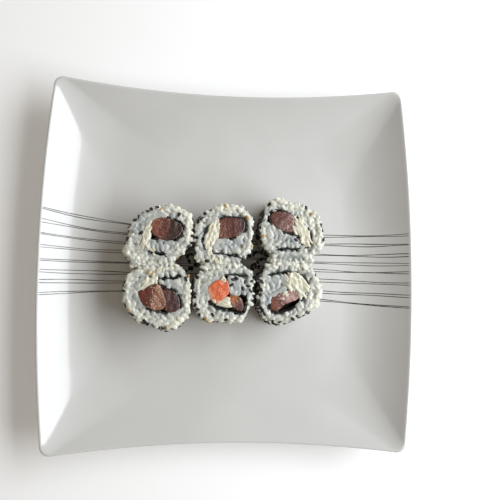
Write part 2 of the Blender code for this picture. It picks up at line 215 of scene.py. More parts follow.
def slab(outline, inset, step, top, levels):
    """A closed solid over an outline, as points and faces.

    Its top is a grid sheet z = top(x, y, depth) with its edge on the line that lies inset(x, y)
    inside the outline. Its sides go down through levels (z, how far out), and a flat sheet
    closes it.
    """
    low, high = outline.min(0) - 2 * step, outline.max(0) + 2 * step
    xs, ys = (np.arange(a, b + step, step) for a, b in zip(low, high))
    x, y = (g.ravel() for g in np.meshgrid(xs, ys, indexing="ij"))
    flat = np.stack([x, y], axis=1)
    depth, near = depth_in(flat, outline)
    margin = inset(x, y)
    within = (depth > margin).reshape(len(xs), len(ys))
    quads = grid_faces(len(xs), len(ys), wrap=False)
    whole = within[:-1, :-1] & within[1:, :-1] & within[1:, 1:] & within[:-1, 1:]
    quads = quads[whole.ravel()][:, ::-1]
    used, quads = np.unique(quads, return_inverse=True)
    quads = quads.reshape(-1, 4)
    flat, depth, near, margin = flat[used], depth[used], near[used], margin[used]
    ahead = np.concatenate([quads[:, [k, (k + 1) % 4]] for k in range(4)])
    code = ahead[:, 0] * len(flat) + ahead[:, 1]
    back = ahead[:, 1] * len(flat) + ahead[:, 0]
    rim_edges = ahead[~np.isin(code, back)]
    rim = np.unique(rim_edges)
    outward = (near[rim] - flat[rim]) * np.sign(depth[rim])[:, None]
    outward /= np.maximum(np.linalg.norm(outward, axis=1), 1e-6)[:, None]
    flat[rim] = near[rim] - outward * margin[rim][:, None]
    depth[rim] = margin[rim]
    sheet = np.column_stack([flat, top(flat[:, 0], flat[:, 1], depth - margin)])
    rings = [np.column_stack([flat[rim] + outward * out, np.full(len(rim), z)]) for z, out in levels]
    place = np.full(len(flat), -1)
    place[rim] = np.arange(len(rim))
    edge = place[rim_edges]
    firsts = [rim] + [len(flat) + k * len(rim) + np.arange(len(rim)) for k in range(len(levels))]
    sides = [np.stack([upper[edge[:, 1]], upper[edge[:, 0]], lower[edge[:, 0]], lower[edge[:, 1]]], axis=1)
             for upper, lower in zip(firsts, firsts[1:])]
    count = len(flat) + len(levels) * len(rim)
    floor_index = count + np.arange(len(flat))
    floor_index[rim] = firsts[-1]
    floor = np.column_stack([flat, np.full(len(flat), levels[-1][0])])
    points = np.concatenate([sheet, *rings, floor])
    faces = np.concatenate([quads, *sides, floor_index[quads][:, ::-1]])
    kept, faces = np.unique(faces, return_inverse=True)
    return points[kept], faces.reshape(-1, 4)


# Materials

def shader(name, colour, roughness, **sockets):
    """A Principled material. sockets are further inputs, with _ for a space."""
    material = bpy.data.materials.new(name)
    material.use_nodes = True
    node = material.node_tree.nodes["Principled BSDF"]
    node.inputs["Base Color"].default_value = (*colour, 1)
    node.inputs["Roughness"].default_value = roughness
    for key, value in sockets.items():
        node.inputs[key.replace("_", " ")].default_value = value
    return material


def add_node(material, kind, values=None, **links):
    """Adds a node. values sets inputs by name or index; links joins inputs to other sockets."""
    node = material.node_tree.nodes.new(kind)
    for key, value in (values or {}).items():
        if isinstance(key, str) and hasattr(node, key):
            setattr(node, key, value)
        else:
            node.inputs[key].default_value = value
    for key, socket in links.items():
        material.node_tree.links.new(socket, node.inputs[key.replace("_", " ")])
    return node


def join(material, socket, input_name):
    """Feeds a socket into one of the finish's main inputs."""
    principled = material.node_tree.nodes["Principled BSDF"]
    material.node_tree.links.new(socket, principled.inputs[input_name])


def attribute(material, key):
    """A number kept at each point of the mesh."""
    return add_node(material, "ShaderNodeAttribute", {"attribute_name": key}).outputs["Fac"]


def noise(material, size_mm, detail=2.0, roughness=0.5):
    """Noise whose blotches are about this size, from 0 to 1."""
    values = {"Scale": 1 / (size_mm * MM), "Detail": detail, "Roughness": roughness}
    place = add_node(material, "ShaderNodeTexCoord").outputs["Object"]
    return add_node(material, "ShaderNodeTexNoise", values, Vector=place).outputs["Fac"]


def ramp(material, socket, *stops):
    """A colour ramp with stops of (position, colour)."""
    node = add_node(material, "ShaderNodeValToRGB", Fac=socket)
    elements = node.color_ramp.elements
    while len(elements) < len(stops):
        elements.new(0.5)
    for element, (position, colour) in zip(elements, stops):
        element.position = position
        element.color = (*colour, 1)
    return node.outputs["Color"]


def feed(material, socket, value):
    """Joins an input to another node's output, or sets it to a colour or a number."""
    if isinstance(value, bpy.types.NodeSocket):
        material.node_tree.links.new(value, socket)
    else:
        socket.default_value = (*value, 1) if isinstance(value, tuple) else value


def mixed(material, factor, first, second):
    """first where the factor is 0 and second where it is 1; each is a socket or a colour."""
    node = material.node_tree.nodes.new("ShaderNodeMix")
    node.data_type = "RGBA"
    for key, value in ((0, factor), (6, first), (7, second)):
        feed(material, node.inputs[key], value)
    return node.outputs[2]


def maths(material, operation, *values, clamp=False):
    """One step of arithmetic on sockets and numbers."""
    node = material.node_tree.nodes.new("ShaderNodeMath")
    node.operation, node.use_clamp = operation, clamp
    for socket, value in zip(node.inputs, values):
        feed(material, socket, value)
    return node.outputs[0]


def scaled(material, socket, factor, offset=0.0):
    """socket * factor + offset, kept from 0 to 1."""
    return maths(material, "MULTIPLY_ADD", socket, factor, offset, clamp=True)


def product(material, first, second):
    """first times second."""
    return maths(material, "MULTIPLY", first, second)


def bump(material, socket, height_mm, strength=1.0):
    """Relief finer than the mesh, height_mm high where the socket is 1."""
    node = add_node(material, "ShaderNodeBump", {"Strength": strength, "Distance": height_mm * MM},
                    Height=socket)
    join(material, node.outputs["Normal"], "Normal")


def porcelain():
    """Glossy off-white glaze with the faintest waves."""
    glaze = shader("porcelain", (0.64, 0.635, 0.62), 0.16, Coat_Weight=0.5, Coat_Roughness=0.06)
    tint = ramp(glaze, noise(glaze, 60, 2), (0.35, (0.62, 0.615, 0.60)), (0.65, (0.66, 0.655, 0.64)))
    join(glaze, tint, "Base Color")
    bump(glaze, noise(glaze, 14, 1), 0.05)
    return glaze


def stripe_ink():
    """Near-black glossy ink, worn greyer in blotches."""
    ink = shader("stripe_ink", (0.06, 0.055, 0.05), 0.2, Coat_Weight=0.5, Coat_Roughness=0.08)
    wear = ramp(ink, noise(ink, 5, 2), (0.35, (0.035, 0.032, 0.03)), (0.75, (0.16, 0.155, 0.145)))
    join(ink, wear, "Base Color")
    return ink


def rice_material():
    """Cooked grains, each of its own tone: plain ones, creamy ones on the outside and glassy ones
    round the nori, greyed there with painted shade of the dark nori seen through the rice. Starch
    pales the creases between glassy grains; the creases between the rest are darkened with painted
    shade, and the hollows beside the fillings are painted near black as shade."""
    rice = shader("sushi_rice", (0.7, 0.72, 0.68), 0.32, Subsurface_Weight=0.65,
                  Subsurface_Radius=(1.0, 0.95, 0.8), Subsurface_Scale=0.002,
                  Coat_Weight=0.28, Coat_Roughness=0.22)
    tone = attribute(rice, "tone")
    plain = ramp(rice, tone, (0.0, (0.43, 0.45, 0.42)), (0.5, (0.55, 0.56, 0.51)), (1.0, (0.72, 0.71, 0.64)))
    creamy = ramp(rice, tone, (0.0, (0.72, 0.71, 0.61)), (1.0, (0.92, 0.89, 0.77)))
    glassy = ramp(rice, tone, (0.0, (0.28, 0.305, 0.315)), (1.0, (0.48, 0.505, 0.51)))
    patches = scaled(rice, noise(rice, 6.0, 2), 3.0, -0.75)
    colour = mixed(rice, product(rice, attribute(rice, "cream"), patches), plain, creamy)
    crease = attribute(rice, "crease")
    # Painted shade: the creases between plain and creamy grains are darkened.
    colour = mixed(rice, scaled(rice, crease, 0.4), colour, (0.38, 0.395, 0.36))
    glassy = mixed(rice, scaled(rice, crease, 0.45), glassy, (0.55, 0.57, 0.54))
    # Glassy grey near the nori and in the tongues, darkened with painted shade of the nori seen through the
    # rice.
    colour = mixed(rice, attribute(rice, "glassy_nori_shade"), colour, glassy)
    # Painted shade: near black deep in the hollows beside the fillings.
    colour = mixed(rice, attribute(rice, "hollow_shade"), colour, (0.02, 0.022, 0.02))
    join(rice, colour, "Base Color")
    bump(rice, noise(rice, 0.9, 3), 0.14, 0.7)
    return rice


def nori_material():
    """Dark dried seaweed, mottled and finely rough."""
    nori = shader("nori", (0.010, 0.013, 0.011), 0.6, Coat_Weight=0.08, Coat_Roughness=0.3)
    colour = ramp(nori, noise(nori, 1.2, 4), (0.35, (0.004, 0.006, 0.006)), (0.7, (0.022, 0.028, 0.022)))
    join(nori, colour, "Base Color")
    bump(nori, noise(nori, 0.5, 4), 0.2)
    return nori


BLACK, WHITE = (0, 0, 0), (1, 1, 1)
# Pale specks on the fish: partly fat, partly painted highlight.
GLINT_BEAD_COLOUR = (0.80, 0.62, 0.54)


def fish_material(name, colours, fat, glint_beads):
    """Wet raw fish. colours are its stops (place along it, colour). fat is its colour, how many mm
    lie between its thin wandering lines, where along they start and end, and how strong they
    are: the lines are the places where a noise is near its middle value. The last argument gives
    pale specks, partly fat and partly painted highlight: their place along it, how wide they lie
    and how strong they are."""
    fat_colour, fat_mm, (start, end), fat_most = fat
    fish = shader(name, colours[0][1], 0.26, Subsurface_Weight=0.15, Coat_Weight=0.35,
                  Subsurface_Radius=(1.0, 0.35, 0.2), Subsurface_Scale=0.001, Coat_Roughness=0.08)
    along = attribute(fish, "along")
    wandering = maths(fish, "MULTIPLY_ADD", noise(fish, 2.5, 2), 0.35, -0.175)
    base = ramp(fish, maths(fish, "ADD", along, wandering), *colours)
    dark = tuple(c * 0.6 for c in colours[-1][1])
    mottled = mixed(fish, scaled(fish, noise(fish, 1.3, 3), 1.6, -0.6), base, dark)
    lines = ramp(fish, noise(fish, fat_mm, 2), (0.47, BLACK), (0.50, (fat_most,) * 3), (0.53, BLACK))
    reach = ramp(fish, along, (start, BLACK), (start + 0.15, WHITE), (end - 0.15, WHITE), (end, BLACK))
    patches = scaled(fish, noise(fish, 2.6 * fat_mm, 1), 4.0, -1.6)
    marbled = mixed(fish, product(fish, product(fish, lines, patches), reach), mottled, fat_colour)
    middle, width, most = glint_beads
    # Painted highlight, partly fat: pale specks along the fish's ridge.
    lie = ramp(fish, along, (middle - width, BLACK), (middle, (most,) * 3), (middle + width, BLACK))
    specks = ramp(fish, noise(fish, 0.8, 1), (0.60, BLACK), (0.66, WHITE))
    join(fish, mixed(fish, product(fish, lie, specks), marbled, GLINT_BEAD_COLOUR), "Base Color")
    bump(fish, noise(fish, 0.9, 4, 0.6), 0.35, 0.9)
    return fish


def cheese_material():
    """Soft white cheese, yellower and darker in blotches."""
    cheese = shader("cheese", (0.80, 0.78, 0.64), 0.38, Subsurface_Weight=0.4,
                    Subsurface_Radius=(1.0, 0.9, 0.6), Subsurface_Scale=0.002,
                    Coat_Weight=0.3, Coat_Roughness=0.2)
    colour = ramp(cheese, noise(cheese, 3.0, 3), (0.3, (0.62, 0.58, 0.43)), (0.7, (0.80, 0.78, 0.66)))
    join(cheese, colour, "Base Color")
    bump(cheese, noise(cheese, 1.2, 3), 0.3, 0.8)
    return cheese


def seed_material(name, dark, light, roughness):
    """Sesame: each seed has its own tone from dark to light, with darker specks."""
    seed = shader(name, dark, roughness, Coat_Weight=0.1, Coat_Roughness=0.3)
    colour = ramp(seed, attribute(seed, "tone"), (0.0, dark), (1.0, light))
    spotted = mixed(seed, scaled(seed, noise(seed, 0.8, 2), 0.8, -0.2), colour,
                    tuple(c * 0.6 for c in dark))
    join(seed, spotted, "Base Color")
    return seed


# Plate: lengths are in mm, and a share is a part of its half width and half depth.

PLATE_HALF_WIDTH = 117.5
PLATE_HALF_DEPTH = 123.5
SIDE_BOW = 7.5
SIDE_HOLLOW = 6.7
RIM_CORNER_Z = 27.0
RIM_BOWED_SIDE_Z = 25.0
RIM_HOLLOWED_SIDE_Z = 19.0
RIM_CORNER_RADIUS = 6.0
WELL_CORNER_RADIUS = 34.0
WELL_SHARE = 0.64
WELL_Z = 8.0
WALL_CURVE = 1.8
PLATE_THICKNESS = 4.2
LIP_THICKNESS = 3.0
LIP_SHARE = 0.987
RECESS_Z = 3.4
FOOT_SHARE = 0.60
FOOT_WIDTH_SHARE = 0.039
CORNER_STEPS = 14
SIDE_STEPS = 26


def rounded_square_walk():
    """The four corners and sides as arrays: the corner centre's sign along X and Y, which slides
    from corner to corner along a side, and the direction's cosine and sine."""
    corner, side = np.arange(CORNER_STEPS + 1) / CORNER_STEPS, np.arange(1, SIDE_STEPS) / SIDE_STEPS
    signs = np.array([(1, 1), (-1, 1), (-1, -1), (1, -1)], float)
    place, angle = [], []
    for quarter in range(4):
        here, there = signs[quarter], signs[(quarter + 1) % 4]
        place += [np.repeat(here[None], len(corner), 0), here + (there - here) * side[:, None]]
        angle += [(quarter + corner) * math.pi / 2, np.full(len(side), (quarter + 1) * math.pi / 2)]
    place, angle = np.concatenate(place), np.concatenate(angle)
    return place[:, 0], place[:, 1], np.cos(angle), np.sin(angle)


def plate_rings(shares, drops=0.0, heights=None):
    """Rings round the plate, one for each share of its size.

    A ring is a rounded square with two bowed and two hollowed sides. Its height is the well's
    plus the rim's height above it times (share of the wall climbed) ** WALL_CURVE, less drops,
    or the stated heights.
    """
    shares = np.asarray(shares, float)[:, None]
    sign_x, sign_y, cosine, sine = rounded_square_walk()
    up = np.maximum(0, shares - WELL_SHARE) / (1 - WELL_SHARE)
    radius = WELL_CORNER_RADIUS + (RIM_CORNER_RADIUS - WELL_CORNER_RADIUS) * up
    radius = np.minimum(radius, WELL_CORNER_RADIUS * shares / WELL_SHARE)
    half_x, half_y = PLATE_HALF_WIDTH * shares, PLATE_HALF_DEPTH * shares
    x = sign_x * (half_x - radius) + radius * cosine
    y = sign_y * (half_y - radius) + radius * sine
    across, along = x / half_x, y / half_y
    rim = (RIM_CORNER_Z - (RIM_CORNER_Z - RIM_BOWED_SIDE_Z) * (1 - along**2)
           - (RIM_CORNER_Z - RIM_HOLLOWED_SIDE_Z) * (1 - across**2))
    z = WELL_Z + (rim - WELL_Z) * up**WALL_CURVE - np.reshape(drops, (-1, 1))
    if heights is not None:
        z = np.broadcast_to(np.reshape(heights, (-1, 1)), x.shape)
    x = x * (1 + SIDE_BOW / PLATE_HALF_WIDTH * (1 - along**2))
    y = y * (1 - SIDE_HOLLOW / PLATE_HALF_DEPTH * (1 - across**2))
    return np.stack([x, y, z], axis=-1)


def make_plate(glaze):
    """The glazed body: well, wall, half-round lip, underside, foot ring and recess, ring by ring."""
    turn = np.linspace(0, math.pi, 9)[1:-1]
    under = np.linspace(LIP_SHARE, 0.645, 16)
    climbed = (under - WELL_SHARE) / (1 - WELL_SHARE)
    thick = (PLATE_THICKNESS + (LIP_THICKNESS - PLATE_THICKNESS) * climbed) * (1 + 0.35 * climbed)
    foot_in = FOOT_SHARE - FOOT_WIDTH_SHARE
    foot = ((FOOT_SHARE + 0.022, 3.9), (FOOT_SHARE + 0.010, 3.2), (FOOT_SHARE + 0.004, 1.0),
            (FOOT_SHARE, 0.25), (FOOT_SHARE - 0.003, 0.0), (foot_in + 0.003, 0.0), (foot_in, 0.25),
            (foot_in - 0.004, 2.6), (foot_in - 0.012, RECESS_Z), (0.35, RECESS_Z), (0.1, RECESS_Z))
    rings = np.concatenate([
        plate_rings([0.08, 0.3, 0.5, 0.6, *np.linspace(WELL_SHARE, LIP_SHARE, 34)]),
        plate_rings(LIP_SHARE + (0.9997 - LIP_SHARE) * np.sin(turn),
                    thick[0] / 2 * (1 - np.cos(turn))),
        plate_rings(under, thick),
        plate_rings([share for share, _ in foot], heights=[z for _, z in foot]),
    ])
    rows, columns = rings.shape[:2]
    points = np.concatenate([rings.reshape(-1, 3), [(0, 0, WELL_Z), (0, 0, RECESS_Z)]])
    first, last = np.arange(columns), (rows - 1) * columns + np.arange(columns)
    faces = [grid_faces(rows, columns)[:, ::-1], fan_faces(rows * columns, first),
             fan_faces(rows * columns + 1, last[::-1])]
    new_piece("plate_glazed", points, faces, glaze, "porcelain", ["plate"])
    return BVHTree.FromPolygons(points.tolist(), faces[0].tolist() + faces[1].tolist())


# Pairs of thin painted stripes from the left rim to the right: for each, its middle's place along
# Y at the left rim, the well's left and right edges and the right rim, and the pair's widest gap.
STRIPE_PAIRS = (
    (35.0, 28.0, 22.3, 22.9, 2.6), (26.6, 21.0, 16.1, 16.1, 2.4), (18.4, 14.6, 9.0, 8.9, 2.2),
    (9.8, 8.6, 3.6, 2.2, 2.0), (1.0, 1.1, -2.2, -3.6, 2.2), (-6.2, -6.0, -9.1, -11.2, 2.4),
    (-12.9, -12.1, -17.0, -19.4, 2.2), (-20.8, -18.2, -23.2, -27.2, 2.0),
)
STRIPE_REACH = PLATE_HALF_WIDTH + 5.6
STRIPE_WELL_X = (-75.0, 72.0)
STRIPE_WIDTH = 0.65
STRIPE_RAISE = 0.05
STRIPE_POINTS = 150


def make_stripes(plate_tree, ink):
    """Each stripe is a flat lens section carried along its line on the glaze."""
    knots_x = (-STRIPE_REACH, *STRIPE_WELL_X, STRIPE_REACH)
    xs = np.linspace(-STRIPE_REACH, STRIPE_REACH, STRIPE_POINTS)
    lens = ((-1, -0.04), (-0.6, STRIPE_RAISE), (0.6, STRIPE_RAISE), (1, -0.04), (0, -0.12))
    sides = len(lens)
    caps = np.array([np.arange(sides)[::-1], (STRIPE_POINTS - 1) * sides + np.arange(sides)])[:, ::-1]
    rng = np.random.default_rng(3)
    stripes = []
    for number, (*knots_y, gap) in enumerate(STRIPE_PAIRS):
        middle = np.polyval(np.polyfit(knots_x, knots_y, 3), xs)
        phase = rng.uniform(0, 2 * math.pi)
        apart = gap * (0.55 + 0.45 * np.cos(xs / 17 + phase) * np.cos(xs / 41 + 2 * phase))
        width = STRIPE_WIDTH / 2 * (1 + 0.25 * wavering(xs, 35, 90 + 2 * number))
        width[[0, -1]] *= 0.3
        for side in (-0.5, 0.5):
            ys = middle + side * apart + 0.35 * wavering(xs, 60, 10 * number + int(side + 1))
            zs = [plate_tree.ray_cast(Vector((x, y, 60)), DOWN)[0].z for x, y in zip(xs, ys)]
            path = np.column_stack([xs, ys, zs])
            ahead = unit(np.gradient(path, axis=0))
            beside = unit(np.cross((0, 0, 1), ahead))
            up = np.cross(ahead, beside)
            section = [path + beside * (width * across)[:, None] + up * rise for across, rise in lens]
            points = np.stack(section, axis=1).reshape(-1, 3)
            stripes.append((points, [grid_faces(STRIPE_POINTS, sides)[:, ::-1], caps]))
    new_piece("plate_stripes", *joined(stripes), ink, "porcelain")


# Grains and seeds

def blunt_egg(around, rings, squareness, taper):
    """A unit solid along X: rings of radius cos(v) ** squareness * (1 - taper * sin(v)) at
    x = sin(v), closed by a point at each end. Known fault: its faces point inwards. fused() puts
    that right for grains and cheese, but the seeds stay inside out."""
    v = np.linspace(-math.pi / 2, math.pi / 2, rings + 2)[1:-1]
    u = np.arange(around) * 2 * math.pi / around
    radius = np.cos(v) ** squareness * (1 - taper * np.sin(v))
    points = np.stack([np.repeat(np.sin(v)[:, None], around, 1), radius[:, None] * np.cos(u),
                       radius[:, None] * np.sin(u)], axis=-1).reshape(-1, 3)
    points = np.concatenate([points, [(-1, 0, 0), (1, 0, 0)]])
    tips = len(points) - 2
    first, last = np.arange(around), (rings - 1) * around + np.arange(around)
    return points, [grid_faces(rings, around)[:, ::-1], fan_faces(tips, first),
                    fan_faces(tips + 1, last[::-1])]


def copies(form, centres, axes, ups, sizes, bends):
    """Copies of a unit form as one mesh: each scaled to its half sizes, bent by bends * x**2 and
    turned so that its length lies along its axis and its thickness along its up."""
    unit, faces = form
    points = unit * sizes[:, None]
    points[..., 1] += bends[:, None] * sizes[:, :1] * unit[:, 0] ** 2
    sideways = np.cross(ups, axes)
    turned = (points[..., :1] * axes[:, None] + points[..., 1:2] * sideways[:, None]
              + points[..., 2:] * ups[:, None])
    placed = (turned + centres[:, None]).reshape(-1, 3)
    starts = np.arange(len(centres))[:, None, None] * len(unit)
    return placed, [(block + starts).reshape(-1, block.shape[1]) for block in faces]


def joined(parts):
    """Several shapes as one, each given as points and a list of arrays of faces."""
    start, points, faces = 0, [], []
    for part_points, part_faces in parts:
        points.append(part_points)
        faces += [block + start for block in part_faces]
        start += len(part_points)
    return np.concatenate(points), faces


def unit(vectors):
    """Each vector divided by its length."""
    return vectors / np.linalg.norm(vectors, axis=-1, keepdims=True)


def laid_frames(normals, tilt, rng):
    """A random length axis across each normal, tilted by up to tilt, and the matching up."""
    axis = unit(np.cross(normals, rng.normal(size=normals.shape)))
    axis = unit(axis + normals * rng.uniform(-tilt, tilt, len(axis))[:, None])
    up = unit(normals - axis * (normals * axis).sum(-1)[:, None])
    return axis, up


def surface_points(points, triangles, count, rng):
    """Points spread evenly over triangles by area, with their triangles' normals."""
    a, b, c = (points[triangles[:, k]] for k in range(3))
    cross = np.cross(b - a, c - a)
    area = np.linalg.norm(cross, axis=1)
    chosen = rng.choice(len(area), count, p=area / area.sum())
    s, t = rng.random(count), rng.random(count)
    over = s + t > 1
    s, t = np.where(over, 1 - s, s), np.where(over, 1 - t, t)
    spots = a[chosen] + (b - a)[chosen] * s[:, None] + (c - a)[chosen] * t[:, None]
    return spots, cross[chosen] / area[chosen][:, None]


def spaced(points, gap):
    """Which of the points to keep so that no two kept ones are closer than gap."""
    kept = np.empty_like(points)
    chosen = []
    for i, point in enumerate(points):
        if not chosen or ((kept[:len(chosen)] - point) ** 2).sum(1).min() > gap * gap:
            kept[len(chosen)] = point
            chosen.append(i)
    return np.array(chosen)


def fused(points, faces, voxel_mm, smoothing):
    """Overlapping closed shapes made one sticky skin of quads: Blender's voxel remesh, then a
    little smoothing that leaves a fillet in each crease."""
    mesh = bpy.data.meshes.new("lumps")
    mesh.from_pydata((points * MM).tolist(), [], [f for block in faces for f in block.tolist()])
    lumps = bpy.data.objects.new("lumps", mesh)
    bpy.context.scene.collection.objects.link(lumps)
    remesh = lumps.modifiers.new("remesh", "REMESH")
    remesh.mode, remesh.voxel_size = "VOXEL", voxel_mm * MM
    smooth = lumps.modifiers.new("smooth", "SMOOTH")
    smooth.factor, smooth.iterations = 0.5, smoothing
    skin = lumps.evaluated_get(bpy.context.evaluated_depsgraph_get()).to_mesh()
    skin_points = np.empty(len(skin.vertices) * 3, np.float32)
    skin.vertices.foreach_get("co", skin_points)
    corners = np.empty(len(skin.loops), np.int32)
    skin.loops.foreach_get("vertex_index", corners)
    bpy.data.objects.remove(lumps)
    bpy.data.meshes.remove(mesh)
    return skin_points.reshape(-1, 3) / MM, corners.reshape(-1, 4)


GRAIN = blunt_egg(8, 5, 0.72, 0.10)
SEED = blunt_egg(8, 5, 0.8, 0.28)
GRAIN_HALF = np.array([2.75, 1.5, 1.3])
SEED_HALF = np.array([1.65, 1.0, 0.42])
UPWARD = (0.0, 0.0, 1.0)
SPOTS_PER_ROLL = 9000
FACING_UP = 0.75  # a spot faces up where its normal's Z is over this

# Layers of grains: where on the roll, then in mm how far apart and how deep they lie, how far they
# are tilted, and in mm how high their unevenness is.
GRAIN_LAYERS = (("side", 2.5, 1.45, 0.05, 0.0), ("side", 2.8, 1.9, 0.15, 0.0),
                ("upper", 2.6, 1.3, 0.08, 0.3), ("upper", 2.7, 1.75, 0.20, 0.3))
COVERING_GRAINS = 70  # how many are drawn over each sheet of nori; those on bare stretches are left out
JOINED_GAP = 3.0  # grains join a back piece to its front piece where they are closer than this

# The rice's core, in mm: how far its top lies under the cut, how far its wall lies inside the solid
# and how far under the cut it is filled in.
CORE_SUNK = 1.9
CORE_INSET = 1.5
PLUG_SUNK = 7

RICE_VOXEL = 0.4
NORI_POINTS = 260
SEED_REACH = 1.8  # a seed is left out where no grain lies within this of its spot

# Where each sheet of nori comes to the surface: from one share of its length to another, counted
# from its outer end, and how far it is laid bare. The rice is pressed over the rest of it.
NORI_SHOWN = {
    "back_left": ((0.0, 0.08, 2.0), (0.06, 0.15, 1.0), (0.53, 0.69, 0.6), (0.71, 0.80, 0.6),
                  (0.90, 0.97, 0.5)),
    "back_middle": ((0.0, 0.20, 0.8), (0.25, 0.43, 0.9), (0.52, 0.66, 0.8), (0.66, 0.76, 1.2),
                    (0.80, 0.90, 0.4)),
    "back_right": ((0.0, 0.165, 1.1), (0.25, 0.35, 1.3), (0.37, 0.47, 0.5), (0.50, 0.61, 0.35),
                   (0.64, 0.80, 1.0), (0.83, 1.0, 1.1)),
    "front_left": ((0.0, 0.22, 1.3), (0.47, 0.66, 0.4), (0.70, 0.84, 0.45), (0.84, 1.0, 1.0)),
    "front_middle": ((0.0, 0.20, 0.9), (0.43, 0.58, 0.6), (0.58, 0.82, 1.0)),
    "front_right": ((0.03, 0.18, 0.9), (0.20, 0.46, 0.8), (0.52, 0.76, 0.7)),
}

# Patches on the cut faces as ellipses (x, y, half length, half width, turn in degrees). Lobes are
# pressed smooth and creamy.
LOBES = {
    "back_left": ((-27.8, 26.4, 14.2, 3.9, 90), (-35.1, 36.1, 8.4, 3.9, 0), (-64.3, 5.5, 8.4, 5.8, -20)),
    "back_middle": ((-2.6, 36.3, 9.7, 3.9, 0), (9.3, 30.7, 5.2, 3.2, -60)),
    "back_right": ((35.1, 40.1, 10.3, 4.5, -10), (54.5, 24.6, 12.9, 4.5, -80)),
    "front_left": ((-37.5, 0.3, 11.6, 4.5, 10), (-26.2, -24.0, 14.2, 3.9, -85),
                    (-32.2, -37.4, 8.4, 3.9, 10)),
    "front_middle": ((6.2, -35.8, 8.4, 3.9, 10), (10.6, -27.4, 5.2, 3.2, 80)),
    "front_right": ((56.0, -21.6, 14.2, 4.5, 85), (42.6, -0.9, 6.5, 3.2, -20)),
}

# Tongues lie in the curl of the nori and are painted glassy grey, with painted shade of the nori seen
# through the rice.
TONGUES = {
    "back_left": ((-45.5, 11.7, 8.4, 3.2, -15), (-59.8, 25.6, 7.1, 3.2, 65)),
    "back_middle": ((-0.3, 12.1, 9.7, 3.9, 8), (-18.6, 20.8, 5.2, 2.6, 60)),
    "back_right": ((35.2, 16.8, 9.0, 3.9, -5), (39.3, 4.3, 7.7, 2.6, 0)),
    "front_left": ((-37.2, -15.8, 6.5, 2.6, -10),),
    "front_middle": ((5.3, -14.5, 6.5, 4.5, -40),),
    "front_right": ((29.4, -12.9, 5.8, 5.2, -30), (23.0, -23.3, 5.2, 2.6, 90)),
}

# Smears of cheese dragged over the rice and the fish; their strands run along the turn.
SMEARS = {
    "back_left": ((-51.7, 7.7, 5.2, 2.6, -50), (-55.1, 15.4, 4.5, 1.9, 65)),
    "back_middle": ((-11.3, 5.3, 7.7, 3.9, -60), (-12.7, 15.0, 6.5, 2.6, 75)),
    "back_right": ((47.2, 17.7, 5.8, 2.6, 60), (45.1, 30.3, 3.9, 2.6, -60)),
    "front_left": ((-50.6, -10.9, 5.8, 4.5, 70), (-45.7, -5.0, 4.5, 3.2, 60)),
    "front_middle": ((-5.0, -10.5, 2.6, 2.2, 70), (-9.5, -24.4, 3.2, 1.9, -30)),
    "front_right": ((42.6, -9.4, 5.8, 5.8, 80), (34.1, -20.6, 4.5, 2.6, 30)),
}


def patch(ellipses, x, y):
    """1 inside any of the ellipses (x, y, half length, half width, turn) and falling softly to 0
    around them."""
    value = np.zeros(np.shape(x))
    for centre_x, centre_y, length, width, turn in ellipses:
        cosine, sine = math.cos(math.radians(turn)), math.sin(math.radians(turn))
        along = (x - centre_x) * cosine + (y - centre_y) * sine
        across = (y - centre_y) * cosine - (x - centre_x) * sine
        value = np.maximum(value, np.clip(2.2 - 1.6 * np.hypot(along / length, across / width), 0, 1))
    return value


def evenly_along(path, count):
    """A path's points spaced out again at equal steps of its length."""
    walked = np.concatenate([[0], np.cumsum(np.linalg.norm(np.diff(path, axis=0), axis=1))])
    at = np.linspace(0, walked[-1], count)
    return np.column_stack([np.interp(at, walked, path[:, k]) for k in (0, 1)])


def nori_line(name, count):
    """The sheet's middle line from its outer end: the mean of its outline's two long sides."""
    outline = outline_of(f"{name}_nori")
    lengths = np.linalg.norm(np.roll(outline, -1, 0) - outline, axis=1)
    first, second = np.sort(np.argsort(lengths)[:2])
    outline = np.roll(outline, -(first + 1), axis=0)
    sides = (outline[:second - first], outline[second - first:][::-1])
    return sum(evenly_along(side, count) for side in sides) / 2


def bareness(name, share):
    """How far the sheet is laid bare at a share of its length, 0 where the rice hides it, with
    soft ends."""
    stretches = [bare * np.clip(0.5 - np.maximum(start - share, share - end) / 0.03, 0, 1)
                 for start, end, bare in NORI_SHOWN[name]]
    return np.max(stretches, axis=0)


def sheet_gaps(line, x, y):
    """The distance from each point to each point of a sheet's middle line."""
    return np.hypot(x[:, None] - line[:, 0], y[:, None] - line[:, 1])


def bare_beside(name, gaps):
    """How far the sheet is laid bare at its place nearest to each point."""
    return bareness(name, gaps.argmin(1) / (gaps.shape[1] - 1))


def away_from(gaps, start, fade):
    """0 up to start mm from the sheet, rising to 1 over the next fade mm."""
    return np.clip((gaps.min(1) - start) / fade, 0, 1)


def side_layers(spots, normals, masks, rng, seed):
    """Centres, axes and ups of the grains on a roll's side and upper face, layer by layer."""
    layers = []
    for where, gap, sunk, tilt, height in GRAIN_LAYERS:
        some = np.flatnonzero(masks[where])
        rng.shuffle(some)
        some = some[spaced(spots[some], gap)]
        sinking = sunk + rng.uniform(-0.3, 0.35, len(some))
        centres = spots[some] - normals[some] * sinking[:, None]
        centres[:, 2] += height * ripples(centres[:, 0], centres[:, 1], 9, seed)
        layers.append((centres, *laid_frames(normals[some], tilt, rng)))
    return layers


